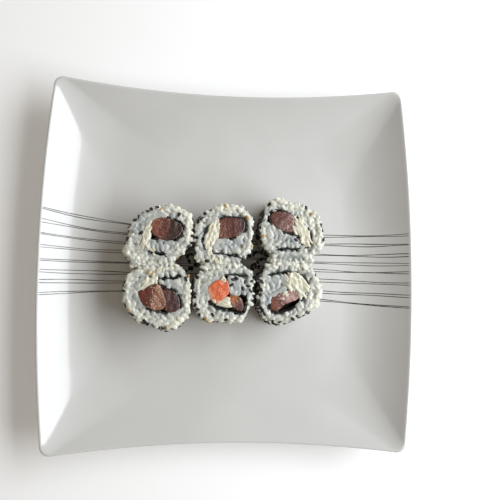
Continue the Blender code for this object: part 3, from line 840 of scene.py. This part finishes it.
def covering_grains(name, line, top, rng):
    """Centres, axes and ups of grains pressed over the sheet where it is hidden, roughly along
    it."""
    share = rng.random(COVERING_GRAINS)
    at = share[bareness(name, share) < 0.3] * (len(line) - 1)
    steps, slope, level = np.arange(len(line)), np.gradient(line, axis=0), np.zeros(len(at))
    x, y, slope_x, slope_y = (np.interp(at, steps, column) for column in (*line.T, *slope.T))
    axis = unit(np.column_stack([slope_x, slope_y, level]))
    axis = unit(axis + rng.normal(0, (0.45, 0.45, 0.1), axis.shape))
    across = np.column_stack([-axis[:, 1], axis[:, 0], level])
    centres = np.column_stack([x, y, top - 1.15 + rng.uniform(-0.3, 0.25, len(at))])
    centres += across * rng.uniform(-0.7, 0.7, len(at))[:, None]
    return centres, axis, np.tile(UPWARD, (len(at), 1))


def joining_grains(back_name, rng):
    """Centres, axes and ups of grains stuck between a back piece and the front piece that it
    nearly touches, in four layers from the top down."""
    pair = [f"{name}_rice" for name in (back_name, back_name.replace("back", "front"))]
    back, front = map(outline_of, pair)
    top = min(bottom_and_top(node)[1] for node in pair)
    centres = []
    for x in np.arange(back[:, 0].min(), back[:, 0].max(), 1.7):
        lowest = back[np.abs(back[:, 0] - x) < 3, 1]
        highest = front[np.abs(front[:, 0] - x) < 3, 1]
        if len(lowest) and len(highest) and 0 < lowest.min() - highest.max() < JOINED_GAP:
            y = (lowest.min() + highest.max()) / 2
            centres += [(x, y, top - 1.3 - 2.0 * layer) for layer in range(4)]
    centres = np.array(centres) + rng.uniform((-0.8, -0.9, -0.7), (0.8, 0.9, 0.4), (len(centres), 3))
    return centres, *laid_frames(np.tile(UPWARD, (len(centres), 1)), 0.4, rng)


def by_grain(points, centres, axes, ups, sizes):
    """For each point the grain it lies nearest to, measured in that grain's own half sizes, and
    from 0 to 1 how evenly it lies between that grain and the next."""
    frames = np.stack([axes, np.cross(ups, axes), ups], axis=1) / sizes[:, :, None]
    shifts = (frames @ centres[:, :, None])[..., 0].astype(np.float32)
    flat = frames.reshape(-1, 3).T.astype(np.float32)
    owners, creases = [], []
    for block in np.array_split(points.astype(np.float32), max(1, len(points) // 3000)):
        local = (block @ flat).reshape(len(block), -1, 3) - shifts
        reach = np.sqrt((local**2).sum(-1))
        two = np.argpartition(reach, 1, axis=1)[:, :2]
        apart = np.take_along_axis(reach, two, 1)
        owners.append(np.where(apart[:, 0] < apart[:, 1], two[:, 0], two[:, 1]))
        creases.append(1 - np.clip(np.abs(apart[:, 0] - apart[:, 1]) / 0.35, 0, 1))
    return np.concatenate(owners), np.concatenate(creases)


def rice_body(name, waist, line, inner, low, top, seed):
    """A roll's lumpy core just inside its solid, and plugs that fill it in below what shows."""

    def surface(x, y, depth):
        """Under the cut, uneven, higher in the lobes and rounded off at the outside."""
        rounding = np.exp(-depth / 0.9) * away_from(sheet_gaps(line, x, y), 1, 2)
        return (top - CORE_SUNK + 0.2 * ripples(x, y, 4.2, seed) + 0.8 * patch(LOBES[name], x, y)
                - 2.2 * rounding)

    def inset(x, y):
        """Well inside the solid on its outside; at the nori's slit nearly closed, and ragged where
        the sheet shows."""
        gaps = sheet_gaps(line, x, y)
        slit = -0.8 + bare_beside(name, gaps) * (0.9 + 0.45 * ripples(x, y, 3.2, seed + 6))
        return slit + (CORE_INSET - slit) * away_from(gaps, 1, 2)

    core = slab(waist, inset, 0.7, surface,
                [(top - 4.0, 0), (top - 8, 0.2), (top - 13, 0), (low + 8, 0.2), (low + 3, 0),
                 (low + 0.4, -1.2)])
    plugs = [slab(outline_of(n), lambda x, y: -0.9 + 0 * x, 0.9, lambda x, y, depth: top - PLUG_SUNK + 0 * x,
                  [(low + 1.5, 0)]) for n in inner]
    return [(points, [quads]) for points, quads in (core, *plugs)]


def make_rice(name, rice, seed):
    """One roll's rice: a core with grains all over it, as one skin. Gives back a tree of it, and
    the spots where seeds may sit: places, normals, which are on the side and which on top."""
    rng = np.random.default_rng(seed)
    node = f"{name}_rice"
    low, top = bottom_and_top(node)
    waist, line = outline_of(node), nori_line(name, 120)
    inner = [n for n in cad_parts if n.startswith(name) and n != node]

    spots, normals = surface_points(*solid_mesh(node), SPOTS_PER_ROLL, rng)
    gaps = sheet_gaps(line, *spots[:, :2].T)
    reach = gaps.min(1)
    outward = ((spots[:, :2] - waist.mean(0)) * normals[:, :2]).sum(1) > 0
    facing_up = normals[:, 2] > FACING_UP
    side = (np.abs(normals[:, 2]) < FACING_UP) & outward & (reach > 2.0)
    upper = facing_up & (reach > 0.9 + 0.85 * bare_beside(name, gaps))
    layers = side_layers(spots, normals, {"side": side, "upper": upper}, rng, seed + 3)
    layers.append(covering_grains(name, line, top, rng))
    if name.startswith("back"):
        layers.append(joining_grains(name, rng))
    centres, axis, up = map(np.concatenate, zip(*layers))
    up = unit(up - axis * (up * axis).sum(-1)[:, None])
    count = len(centres)
    sizes = GRAIN_HALF * rng.uniform((0.75, 0.85, 0.85), (1.15, 1.15, 1.15), (count, 3))
    centres[:, 2] = np.maximum(centres[:, 2], low + 1.5)
    grain_points, grain_faces = copies(GRAIN, centres, axis, up, sizes, rng.uniform(-0.15, 0.15, count))
    cut = top - 0.15
    over = grain_points[:, 2] > cut
    grain_points[over, 2] = cut + 0.3 * (grain_points[over, 2] - cut)
    grain_points[:, 2] = np.clip(grain_points[:, 2], low, top + 0.3)

    body = rice_body(name, waist, line, inner, low, top, seed)
    points, faces = fused(*joined([*body, (grain_points, grain_faces)]), RICE_VOXEL, 0)
    points[:, 2] = np.clip(points[:, 2], low, min(top + 0.3, BOX_TOP - 0.05))
    x, y, z = points.T
    owner, crease = by_grain(points, centres, axis, up, sizes)
    gaps = sheet_gaps(line, x, y)
    # Painted shade of the dark nori seen through the rice, near each sheet and in the tongues, on the top
    # only and uneven from grain to grain.
    shade = np.clip(np.exp(-(gaps / 3.2) ** 2).sum(1) * 0.085 - 0.15, 0, 1)
    near = np.maximum(shade, 0.9 * patch(TONGUES[name], x, y)) * np.clip((z - top + 6) / 4, 0, 1)
    near *= rng.uniform(0.6, 1.2, count)[owner]
    # Painted shade: points deep in the hollows beside the fillings, which the material paints near black.
    inside = [depth_in(points[:, :2], outline_of(n))[0] > -1.0 for n in inner]
    hollow_shade = np.any(inside, axis=0) & (z < top - 3.5)
    cream = np.maximum(patch(LOBES[name], x, y), 0.5 * away_from(gaps, 3, 3))
    new_piece(f"{name}_grains", points, [faces], rice, "sushi_rice", [node],
              {"tone": rng.random(count)[owner], "glassy_nori_shade": near, "crease": crease, "cream": cream,
               "hollow_shade": hollow_shade})
    tree = BVHTree.FromPolygons(points.tolist(), faces.tolist())
    return tree, (spots, normals, side, facing_up & (reach > 2.8))


def make_nori(name, material, seed):
    """The sheet as a thin wavy band carried along its solid's middle line, with its edge sunk
    where the rice hides it. Known fault: its sides point inwards and only its end caps outwards."""
    low, top = bottom_and_top(f"{name}_nori")
    x, y = nori_line(name, NORI_POINTS).T
    soften = np.array([1, 3, 6, 7, 6, 3, 1]) / 27
    x[3:-3], y[3:-3] = np.convolve(x, soften, "valid"), np.convolve(y, soften, "valid")
    dx, dy = np.gradient(x), np.gradient(y)
    length = np.hypot(dx, dy)
    side = np.stack([-dy / length, dx / length], axis=1)
    walked = np.cumsum(length)
    visible = np.clip(2.5 * bareness(name, np.linspace(0, 1, NORI_POINTS)), 0, 1)
    torn = 0.35 * wavering(walked, 1.7, seed + 3) * np.clip(wavering(walked, 7, seed + 4), 0, 1)
    rise = 0.4 * wavering(walked, 3.5, seed) + torn - 0.35 - 1.5 * (1 - visible)
    half_thick = 0.24 + 0.16 * visible * (1 + wavering(walked, 2.5, seed + 2))
    profile = ((-1, 0.0), (-1, 0.9), (-0.8, 1.0), (0.8, 1.0), (1, 0.9), (1, 0.0))
    rows = []
    for across, up in profile:
        z = low + (top - low) * up + (rise if up else 0)
        shift = half_thick * across + 0.2 * wavering(walked, 6, seed + 1) * (up > 0)
        rows.append(np.column_stack([x + side[:, 0] * shift, y + side[:, 1] * shift,
                                     np.broadcast_to(z, x.shape)]))
    points = np.stack(rows, axis=1).reshape(-1, 3)
    points[:, 2] = np.minimum(points[:, 2], BOX_TOP - 0.02)
    sides = len(profile)
    caps = np.stack([np.arange(sides), (NORI_POINTS - 1) * sides + np.arange(sides)[::-1]])
    new_piece(f"{name}_nori_sheet", points, [grid_faces(NORI_POINTS, sides), caps], material, "nori",
              [f"{name}_nori"])


# How each strip of fish looks: its colours (place along it, colour); its fat and its pale specks,
# partly fat and partly painted highlight, as fish_material takes them; the turn in degrees from +X
# of the direction in which it changes, its lift and how far it is grown; and its two flats' ridge
# (place along it, fall in mm for each mm).
FISH = {
    "back_left_tuna": (
        ((0.05, (0.36, 0.15, 0.07)), (0.22, (0.22, 0.055, 0.035)), (0.50, (0.13, 0.030, 0.022)),
         (0.62, (0.045, 0.018, 0.012))),
        ((0.62, 0.42, 0.34), 1.5, (-0.3, 0.6), 0.5), (0.36, 0.28, 0.6), (-12, 0.2, 0.5), (0.55, 0.05)),
    "back_middle_tuna": (
        ((0.0, (0.30, 0.13, 0.09)), (0.3, (0.16, 0.045, 0.032)), (0.7, (0.13, 0.040, 0.030)),
         (0.9, (0.05, 0.021, 0.017))),
        ((0.46, 0.28, 0.24), 1.6, (-0.2, 0.8), 0.35), (0.1, 0.4, 0.5), (10, 0.1, 0.7), (0.6, 0.04)),
    "back_right_tuna": (
        ((0.3, (0.13, 0.050, 0.036)), (0.7, (0.20, 0.080, 0.072))),
        ((0.60, 0.44, 0.40), 1.6, (0.45, 1.3), 0.6), (0.75, 0.4, 1.0), (-45, 0.0, 0.8), (0.4, 0.05)),
    # Its left flat is coloured darker and its right flat lighter, partly as painted shade and light.
    "front_left_tuna_left": (
        ((0.1, (0.20, 0.045, 0.030)), (0.45, (0.13, 0.026, 0.018)), (0.58, (0.30, 0.13, 0.06)),
         (0.95, (0.20, 0.075, 0.032))),
        ((0.68, 0.46, 0.38), 1.8, (0.3, 1.0), 0.5), (0.54, 0.28, 1.0), (-12, 1.2, 1.0), (0.52, 0.16)),
    "front_left_tuna_right": (
        ((0.0, (0.22, 0.10, 0.09)), (0.2, (0.10, 0.034, 0.032)), (0.8, (0.070, 0.030, 0.030))),
        ((0.26, 0.14, 0.13), 1.8, (-0.2, 0.6), 0.2), (0.1, 0.25, 0.6), (10, -0.3, 0.9), (0.3, 0.05)),
    "front_middle_salmon_left": (
        ((0.05, (0.86, 0.50, 0.36)), (0.25, (0.84, 0.20, 0.07)), (0.75, (0.80, 0.15, 0.045)),
         (1.0, (0.50, 0.10, 0.04))),
        ((0.90, 0.62, 0.48), 2.2, (-0.3, 1.2), 0.5), (0.1, 0.4, 0.7), (20, 0.3, 0.9), (0.5, 0.10)),
    "front_middle_salmon_right": (
        ((0.0, (0.60, 0.16, 0.05)), (0.28, (0.50, 0.18, 0.06)), (0.50, (0.16, 0.05, 0.025)),
         (1.0, (0.05, 0.02, 0.015))),
        ((0.75, 0.50, 0.34), 1.8, (0.1, 0.7), 0.5), (0.4, 0.3, 0.8), (-50, -0.3, 0.6), (0.4, 0.14)),
    "front_right_tuna": (
        ((0.05, (0.26, 0.085, 0.045)), (0.35, (0.15, 0.040, 0.028)), (0.65, (0.38, 0.20, 0.17)),
         (1.0, (0.30, 0.16, 0.14))),
        ((0.72, 0.56, 0.50), 1.6, (0.2, 1.3), 0.8), (0.6, 0.6, 1.0), (30, -0.1, 0.6), (0.5, 0.10)),
}
FISH_EDGE = 0.45
FISH_LUMP_SIZE = 5.0
FISH_LUMP_HEIGHT = 0.18


def make_fish(node, seed):
    """A strip of fish: its solid's outline grown a little, with a rounded edge and an uneven top.
    along runs from 0 to 1 in its direction, and two flats slope down from a ridge across it."""
    colours, fat, glint_beads, (turn, lift, grow), (ridge, slope) = FISH[node]
    low, top = bottom_and_top(node)
    top += lift
    outline = outline_of(node)
    direction = np.array([math.cos(math.radians(turn)), math.sin(math.radians(turn))])
    reach = outline @ direction
    crest = reach.min() + ridge * np.ptp(reach)

    def surface(x, y, depth):
        """The ridge's height less the fall on each side, lumpy, with a quarter-round edge."""
        fall = slope * np.abs(x * direction[0] + y * direction[1] - crest)
        edge = np.sqrt(np.clip(1 - (1 - np.clip(depth / FISH_EDGE, 0, 1)) ** 2, 0, 1))
        uneven = (FISH_LUMP_HEIGHT * ripples(x, y, FISH_LUMP_SIZE, seed)
                  + 0.4 * FISH_LUMP_HEIGHT * ripples(x, y, FISH_LUMP_SIZE / 3, seed + 5))
        return top - FISH_EDGE * (1 - edge) + uneven * edge - FISH_LUMP_HEIGHT - fall

    def ragged(x, y):
        """The edge's place: grown outwards, then uneven."""
        return -grow + 0.22 * ripples(x, y, 2.4, seed + 7)

    points, faces = slab(outline, ragged, 0.4, surface,
                         [(top - FISH_EDGE - FISH_LUMP_HEIGHT - 3.0, 0), (top - 8, 0), (low + 1, 0),
                          (low, -0.3)])
    points[:, 2] = np.minimum(points[:, 2], BOX_TOP - 0.02)
    along = points[:, :2] @ direction
    along = (along - along.min()) / np.ptp(along)
    material = fish_material(f"{node}_flesh", colours, fat, glint_beads)
    slot = "salmon" if "salmon" in node else "tuna"
    new_piece(f"{node}_flesh", points, [faces], material, slot, [node], {"along": along})


# How far past its solid's outline each roll's cheese spreads, in mm.
CHEESE_SPREAD = {"back_left": -0.1, "back_middle": 0.5, "back_right": 0.5, "front_left": 0.0,
                 "front_middle": -0.5, "front_right": 0.5}
CHEESE_BLOB_HALF = (3.4, 1.2, 1.0)
CHEESE_STRAND_HALF = (1.8, 1.0, 0.6)
CHEESE_VOXEL = 0.3
CHEESE_SMOOTHING = 7


def make_cheese(name, material, seed):
    """Soft cheese as one skin over a slab in its pocket, long blobs heaped on it and short strands
    dragged over its neighbours."""
    rng = np.random.default_rng(seed)
    node = f"{name}_cheese"
    outline = outline_of(node)
    low, top = bottom_and_top(node)
    inset = 0.2 - CHEESE_SPREAD[name]
    slab_points, slab_faces = slab(outline, lambda x, y: inset + 0 * x, 0.6,
                                   lambda x, y, depth: top - 0.75 - 0.9 * np.exp(-depth / 0.8),
                                   [(top - 3.0, 0), (low + 0.2, 0)])
    spread = outline - outline.mean(0)
    long_way = np.linalg.svd(spread, full_matrices=False)[2][0]
    turn = math.degrees(math.atan2(long_way[1], long_way[0]))
    spots = rng.uniform(outline.min(0) - 0.5, outline.max(0) + 0.5, (1500, 2))
    spots = spots[depth_in(spots, outline)[0] > inset]
    spots = spots[spaced(spots, 1.8)]
    count = len(spots)
    centres = [np.column_stack([spots, top - 1.15 + rng.uniform(-0.3, 0.25, count)])]
    turns = [turn + rng.normal(0, 10, count)]
    sizes = [np.array(CHEESE_BLOB_HALF) * rng.uniform(0.7, 1.2, (count, 3))]
    edge = 0.6 * np.abs(spread).max()
    for middle_x, middle_y, length, width, lie in (*SMEARS[name], (*outline.mean(0), edge, edge / 2, turn)):
        count = int(4 + 0.22 * length * width)
        radius, angle = np.sqrt(rng.random(count)), rng.uniform(0, 2 * math.pi, count)
        u = radius * np.cos(angle) * max(length - 1.3, 0.4)
        v = radius * np.sin(angle) * max(width - 0.4, 0.4)
        cosine, sine = math.cos(math.radians(lie)), math.sin(math.radians(lie))
        centres.append(np.column_stack([middle_x + u * cosine - v * sine, middle_y + u * sine + v * cosine,
                                        top + rng.uniform(-0.9, -0.3, count)]))
        turns.append(lie + rng.normal(0, 14, count))
    strands = sum(map(len, centres[1:]))
    sizes.append(np.array(CHEESE_STRAND_HALF) * rng.uniform(0.7, 1.25, (strands, 3)))
    centres, turns, sizes = np.concatenate(centres), np.radians(np.concatenate(turns)), np.concatenate(sizes)
    axis = unit(np.column_stack([np.cos(turns), np.sin(turns), rng.uniform(-0.12, 0.12, len(turns))]))
    up = unit(np.cross(axis, np.column_stack([-axis[:, 1], axis[:, 0], 0 * turns])))
    lumps = copies(GRAIN, centres, axis, up, sizes, rng.uniform(-0.3, 0.3, len(turns)))
    points, faces = fused(*joined([(slab_points, [slab_faces]), lumps]), CHEESE_VOXEL, CHEESE_SMOOTHING)
    points[:, 2] = np.minimum(points[:, 2], min(top + 0.45, BOX_TOP - 0.02))
    new_piece(f"{node}_cream", points, [faces], material, "cheese", [node])


# Where the gaps between the columns of rolls lie along X, in mm.
GAPS_X = (-22.0, 20.0)

# Where single seeds lie on the cut faces (x, y).
BLACK_ON_TOP = (
    (-29.0, -10.6), (-26.4, -12.5), (1.0, -10.4), (3.6, -9.7), (8.8, -11.9), (11.3, -14.5),
    (0.5, -13.9), (7.8, -16.3), (17.5, -9.8), (20.1, -11.7), (19.8, -16.9), (18.4, 27.5),
    (17.5, 21.5), (20.4, 32.2), (-20.2, 35.0), (-17.0, 37.7), (-22.4, 31.4), (-51.7, 35.4),
    (-58.3, 18.4), (35.0, 22.0),
)
TOASTED_ON_TOP = (
    (-53.2, -6.5), (53.0, 33.7), (9.9, 29.9), (-50.3, -7.7), (16.1, -2.7), (-4.0, 37.4),
)

# Black seeds lying on the plate between the rolls, which also stand in for the deep shade of the gaps there:
# patches (x, y, half length, half width, how many).
FALLEN_SHADE_PATCHES = ((-26.0, 2.0, 4.5, 6.5, 9), (18.5, 5.0, 4.5, 7.0, 10))

# For a roll's upper rim, the whole of its side, its side facing a gap (where black seeds also
# stand in for the gap's deep shade) and its top: the least space between its seeds in mm, and the
# most black and toasted seeds that it has there.
SEED_SPACES = (3.0, 2.4, 2.1, 5.0)
BLACK_MOST = (38, 100, 60, 1)
TOASTED_MOST = (7, 60, 0, 0)


def seed_seats(seats, roll, seed):
    """Which of a roll's spots seeds may take: round its upper rim in crowds, all over its side,
    facing a gap, where black seeds also stand in for the gap's deep shade, and on its top. Creamy
    lobes and the sides where the two rows meet stay bare."""
    spots, normals, side, upper = seats
    x, y, z = spots.T
    crowded = ripples(x, y, 16, int(x[0]) % 97 + seed) > -0.15
    on_lobe = patch(LOBES[roll], x, y) > 0.5
    towards_row = normals[:, 1] * (1 if "front" in roll else -1) > 0.45
    bald = on_lobe | towards_row
    rim = side & (z > z.max() - 6) & crowded & ~bald
    side = side & ~(bald & (z > z.max() - 5))
    # Black seeds on the sides facing a gap also stand in for the gap's deep shade.
    facing = side & (np.abs(spots[:, :1] - GAPS_X).min(1) < 6)
    return rim, side, facing, upper & ~on_lobe


def scatter_seeds(trees, plate_tree, material, name, counts, on_top, fallen_shade_patches, seed, earlier=()):
    """Seeds pressed onto the grains of every roll, as one mesh. counts is BLACK_MOST or
    TOASTED_MOST. on_top are single seeds' places; the argument after it gives patches of seeds on the
    plate, which also stand in for the deep shade between the rolls; and no seed lies on an earlier one."""
    rng = np.random.default_rng(seed)
    centres, ups = [], []
    for (tree, seats), roll in zip(trees, ROLLS):
        spots, normals = seats[:2]
        for where, count, gap in zip(seed_seats(seats, roll, seed), counts, SEED_SPACES):
            some = np.flatnonzero(where)
            rng.shuffle(some)
            some = some[spaced(spots[some], gap)][:count]
            for spot, normal in zip(spots[some], normals[some]):
                hit, hit_normal, _, _ = tree.ray_cast(Vector(spot + normal * 4), Vector(-normal), 8)
                if hit is not None and np.linalg.norm(np.array(hit) - spot) <= SEED_REACH:
                    up = unit(np.array(hit_normal) + 0.5 * normal)
                    centres.append(np.array(hit) + up * 0.1)
                    ups.append(up)
    for x, y in on_top:
        hits = [tree.ray_cast(Vector((x, y, 60)), DOWN)[:2] for tree, _ in trees]
        hits = [(place, normal) for place, normal in hits if place is not None]
        if hits:
            place, normal = max(hits, key=lambda hit: hit[0].z)
            centres.append(np.array(place) + (0, 0, 0.15))
            ups.append(unit(np.array(normal) + (0, 0, 1)))
    # Patches of seeds lying on the plate, which also stand in for the deep shade between the rolls.
    for x, y, half_x, half_y, many in fallen_shade_patches:
        spots = rng.uniform((x - half_x, y - half_y), (x + half_x, y + half_y), (many * 4, 2))
        for spot in spots[spaced(spots, 1.7)][:many]:
            place = plate_tree.ray_cast(Vector((*spot, 60)), DOWN)[0]
            centres.append(np.array(place) + (0, 0, SEED_HALF[2]))
            ups.append(np.array(UPWARD))
    centres, ups = np.array(centres), np.array(ups)
    if len(earlier):
        free = np.linalg.norm(centres[:, None] - earlier, axis=2).min(1) > 2.3
        centres, ups = centres[free], ups[free]
    axis, up = laid_frames(ups, 0.12, rng)
    count = len(centres)
    sizes = SEED_HALF * rng.uniform(0.85, 1.12, (count, 3))
    points, faces = copies(SEED, centres, axis, up, sizes, np.zeros(count))
    points[:, 2] = np.minimum(points[:, 2], BOX_TOP - 0.01)
    tone = np.repeat(rng.random(count), len(SEED[0]))
    new_piece(name, points, faces, material, "sushi_rice", (), {"tone": tone})
    return centres


def make_rolls(plate_tree):
    """All six rolls, and last the seeds, which lie on the rest."""
    rice, nori, cheese = rice_material(), nori_material(), cheese_material()
    trees = []
    for number, name in enumerate(ROLLS):
        trees.append(make_rice(name, rice, 20 + number))
        make_nori(name, nori, 40 + number)
    for number, node in enumerate(FISH):
        make_fish(node, 60 + number)
    for number, name in enumerate(ROLLS):
        make_cheese(name, cheese, 80 + number)
    black = seed_material("black_sesame", (0.006, 0.0055, 0.005), (0.020, 0.017, 0.014), 0.5)
    toasted = seed_material("toasted_sesame", (0.42, 0.23, 0.07), (0.78, 0.58, 0.30), 0.45)
    places = scatter_seeds(trees, plate_tree, black, "black_sesame", BLACK_MOST, BLACK_ON_TOP,
                           FALLEN_SHADE_PATCHES, 7)
    scatter_seeds(trees, plate_tree, toasted, "toasted_sesame", TOASTED_MOST, TOASTED_ON_TOP, (), 8,
                  places)


# Stage

CAMERA_AT = (-0.0310, -0.0308, 0.4483)
CAMERA_DIRECTION = (0.1029, 0.0950, -0.9901)
CAMERA_UP = (-0.0209, 0.9954, 0.0933)
CAMERA_LENS = 46.3


def make_camera():
    """Looks almost straight down from a little to the front left."""
    camera = bpy.data.objects.new("camera", bpy.data.cameras.new("camera"))
    camera.data.lens = CAMERA_LENS
    camera.data.clip_start = 0.01
    forward = Vector(CAMERA_DIRECTION).normalized()
    right = forward.cross(Vector(CAMERA_UP)).normalized()
    turn = Matrix((right, right.cross(forward), -forward)).transposed().to_4x4()
    camera.matrix_world = Matrix.Translation(CAMERA_AT) @ turn
    bpy.context.scene.collection.objects.link(camera)
    bpy.context.scene.camera = camera


STAGE_HALF = 3.0
FLOOR_Z = -0.0002
WINDOW_AT = Vector((0.70, 0.08, 0.58))
WINDOW_AIM = Vector((0, 0, 0.01))


def make_window():
    """The one soft light, a window on the right."""
    light = bpy.data.lights.new("window", "AREA")
    light.shape = "RECTANGLE"
    light.size, light.size_y = 1.2, 0.6
    light.energy, light.color = 13.2, (0.90, 0.95, 1.0)
    window = bpy.data.objects.new("window", light)
    window.location = WINDOW_AT
    window.rotation_euler = (WINDOW_AT - WINDOW_AIM).to_track_quat("Z", "Y").to_euler()
    bpy.context.scene.collection.objects.link(window)


def make_stage():
    """A white floor, and a faint warm glow from all round."""
    material = shader("floor", (0.93, 0.93, 0.93), 0.9, Emission_Color=(1, 1, 1, 1),
                      Emission_Strength=0.12)
    corners = [(x * STAGE_HALF, y * STAGE_HALF, FLOOR_Z) for x, y in ((-1, -1), (1, -1), (1, 1), (-1, 1))]
    mesh = bpy.data.meshes.new("floor")
    mesh.from_pydata(corners, [], [(0, 1, 2, 3)])
    mesh.materials.append(material)
    floor = bpy.data.objects.new("floor", mesh)
    bpy.context.scene.collection.objects.link(floor)
    world = bpy.data.worlds.new("studio")
    world.use_nodes = True
    background = world.node_tree.nodes["Background"].inputs
    background["Color"].default_value = (1.0, 0.89, 0.74, 1)
    background["Strength"].default_value = 0.28
    bpy.context.scene.world = world
    bpy.context.scene.view_settings.view_transform = "Standard"


def main():
    plate_tree = make_plate(porcelain())
    make_stripes(plate_tree, stripe_ink())
    make_rolls(plate_tree)
    make_camera()
    make_stage()
    make_window()


main()
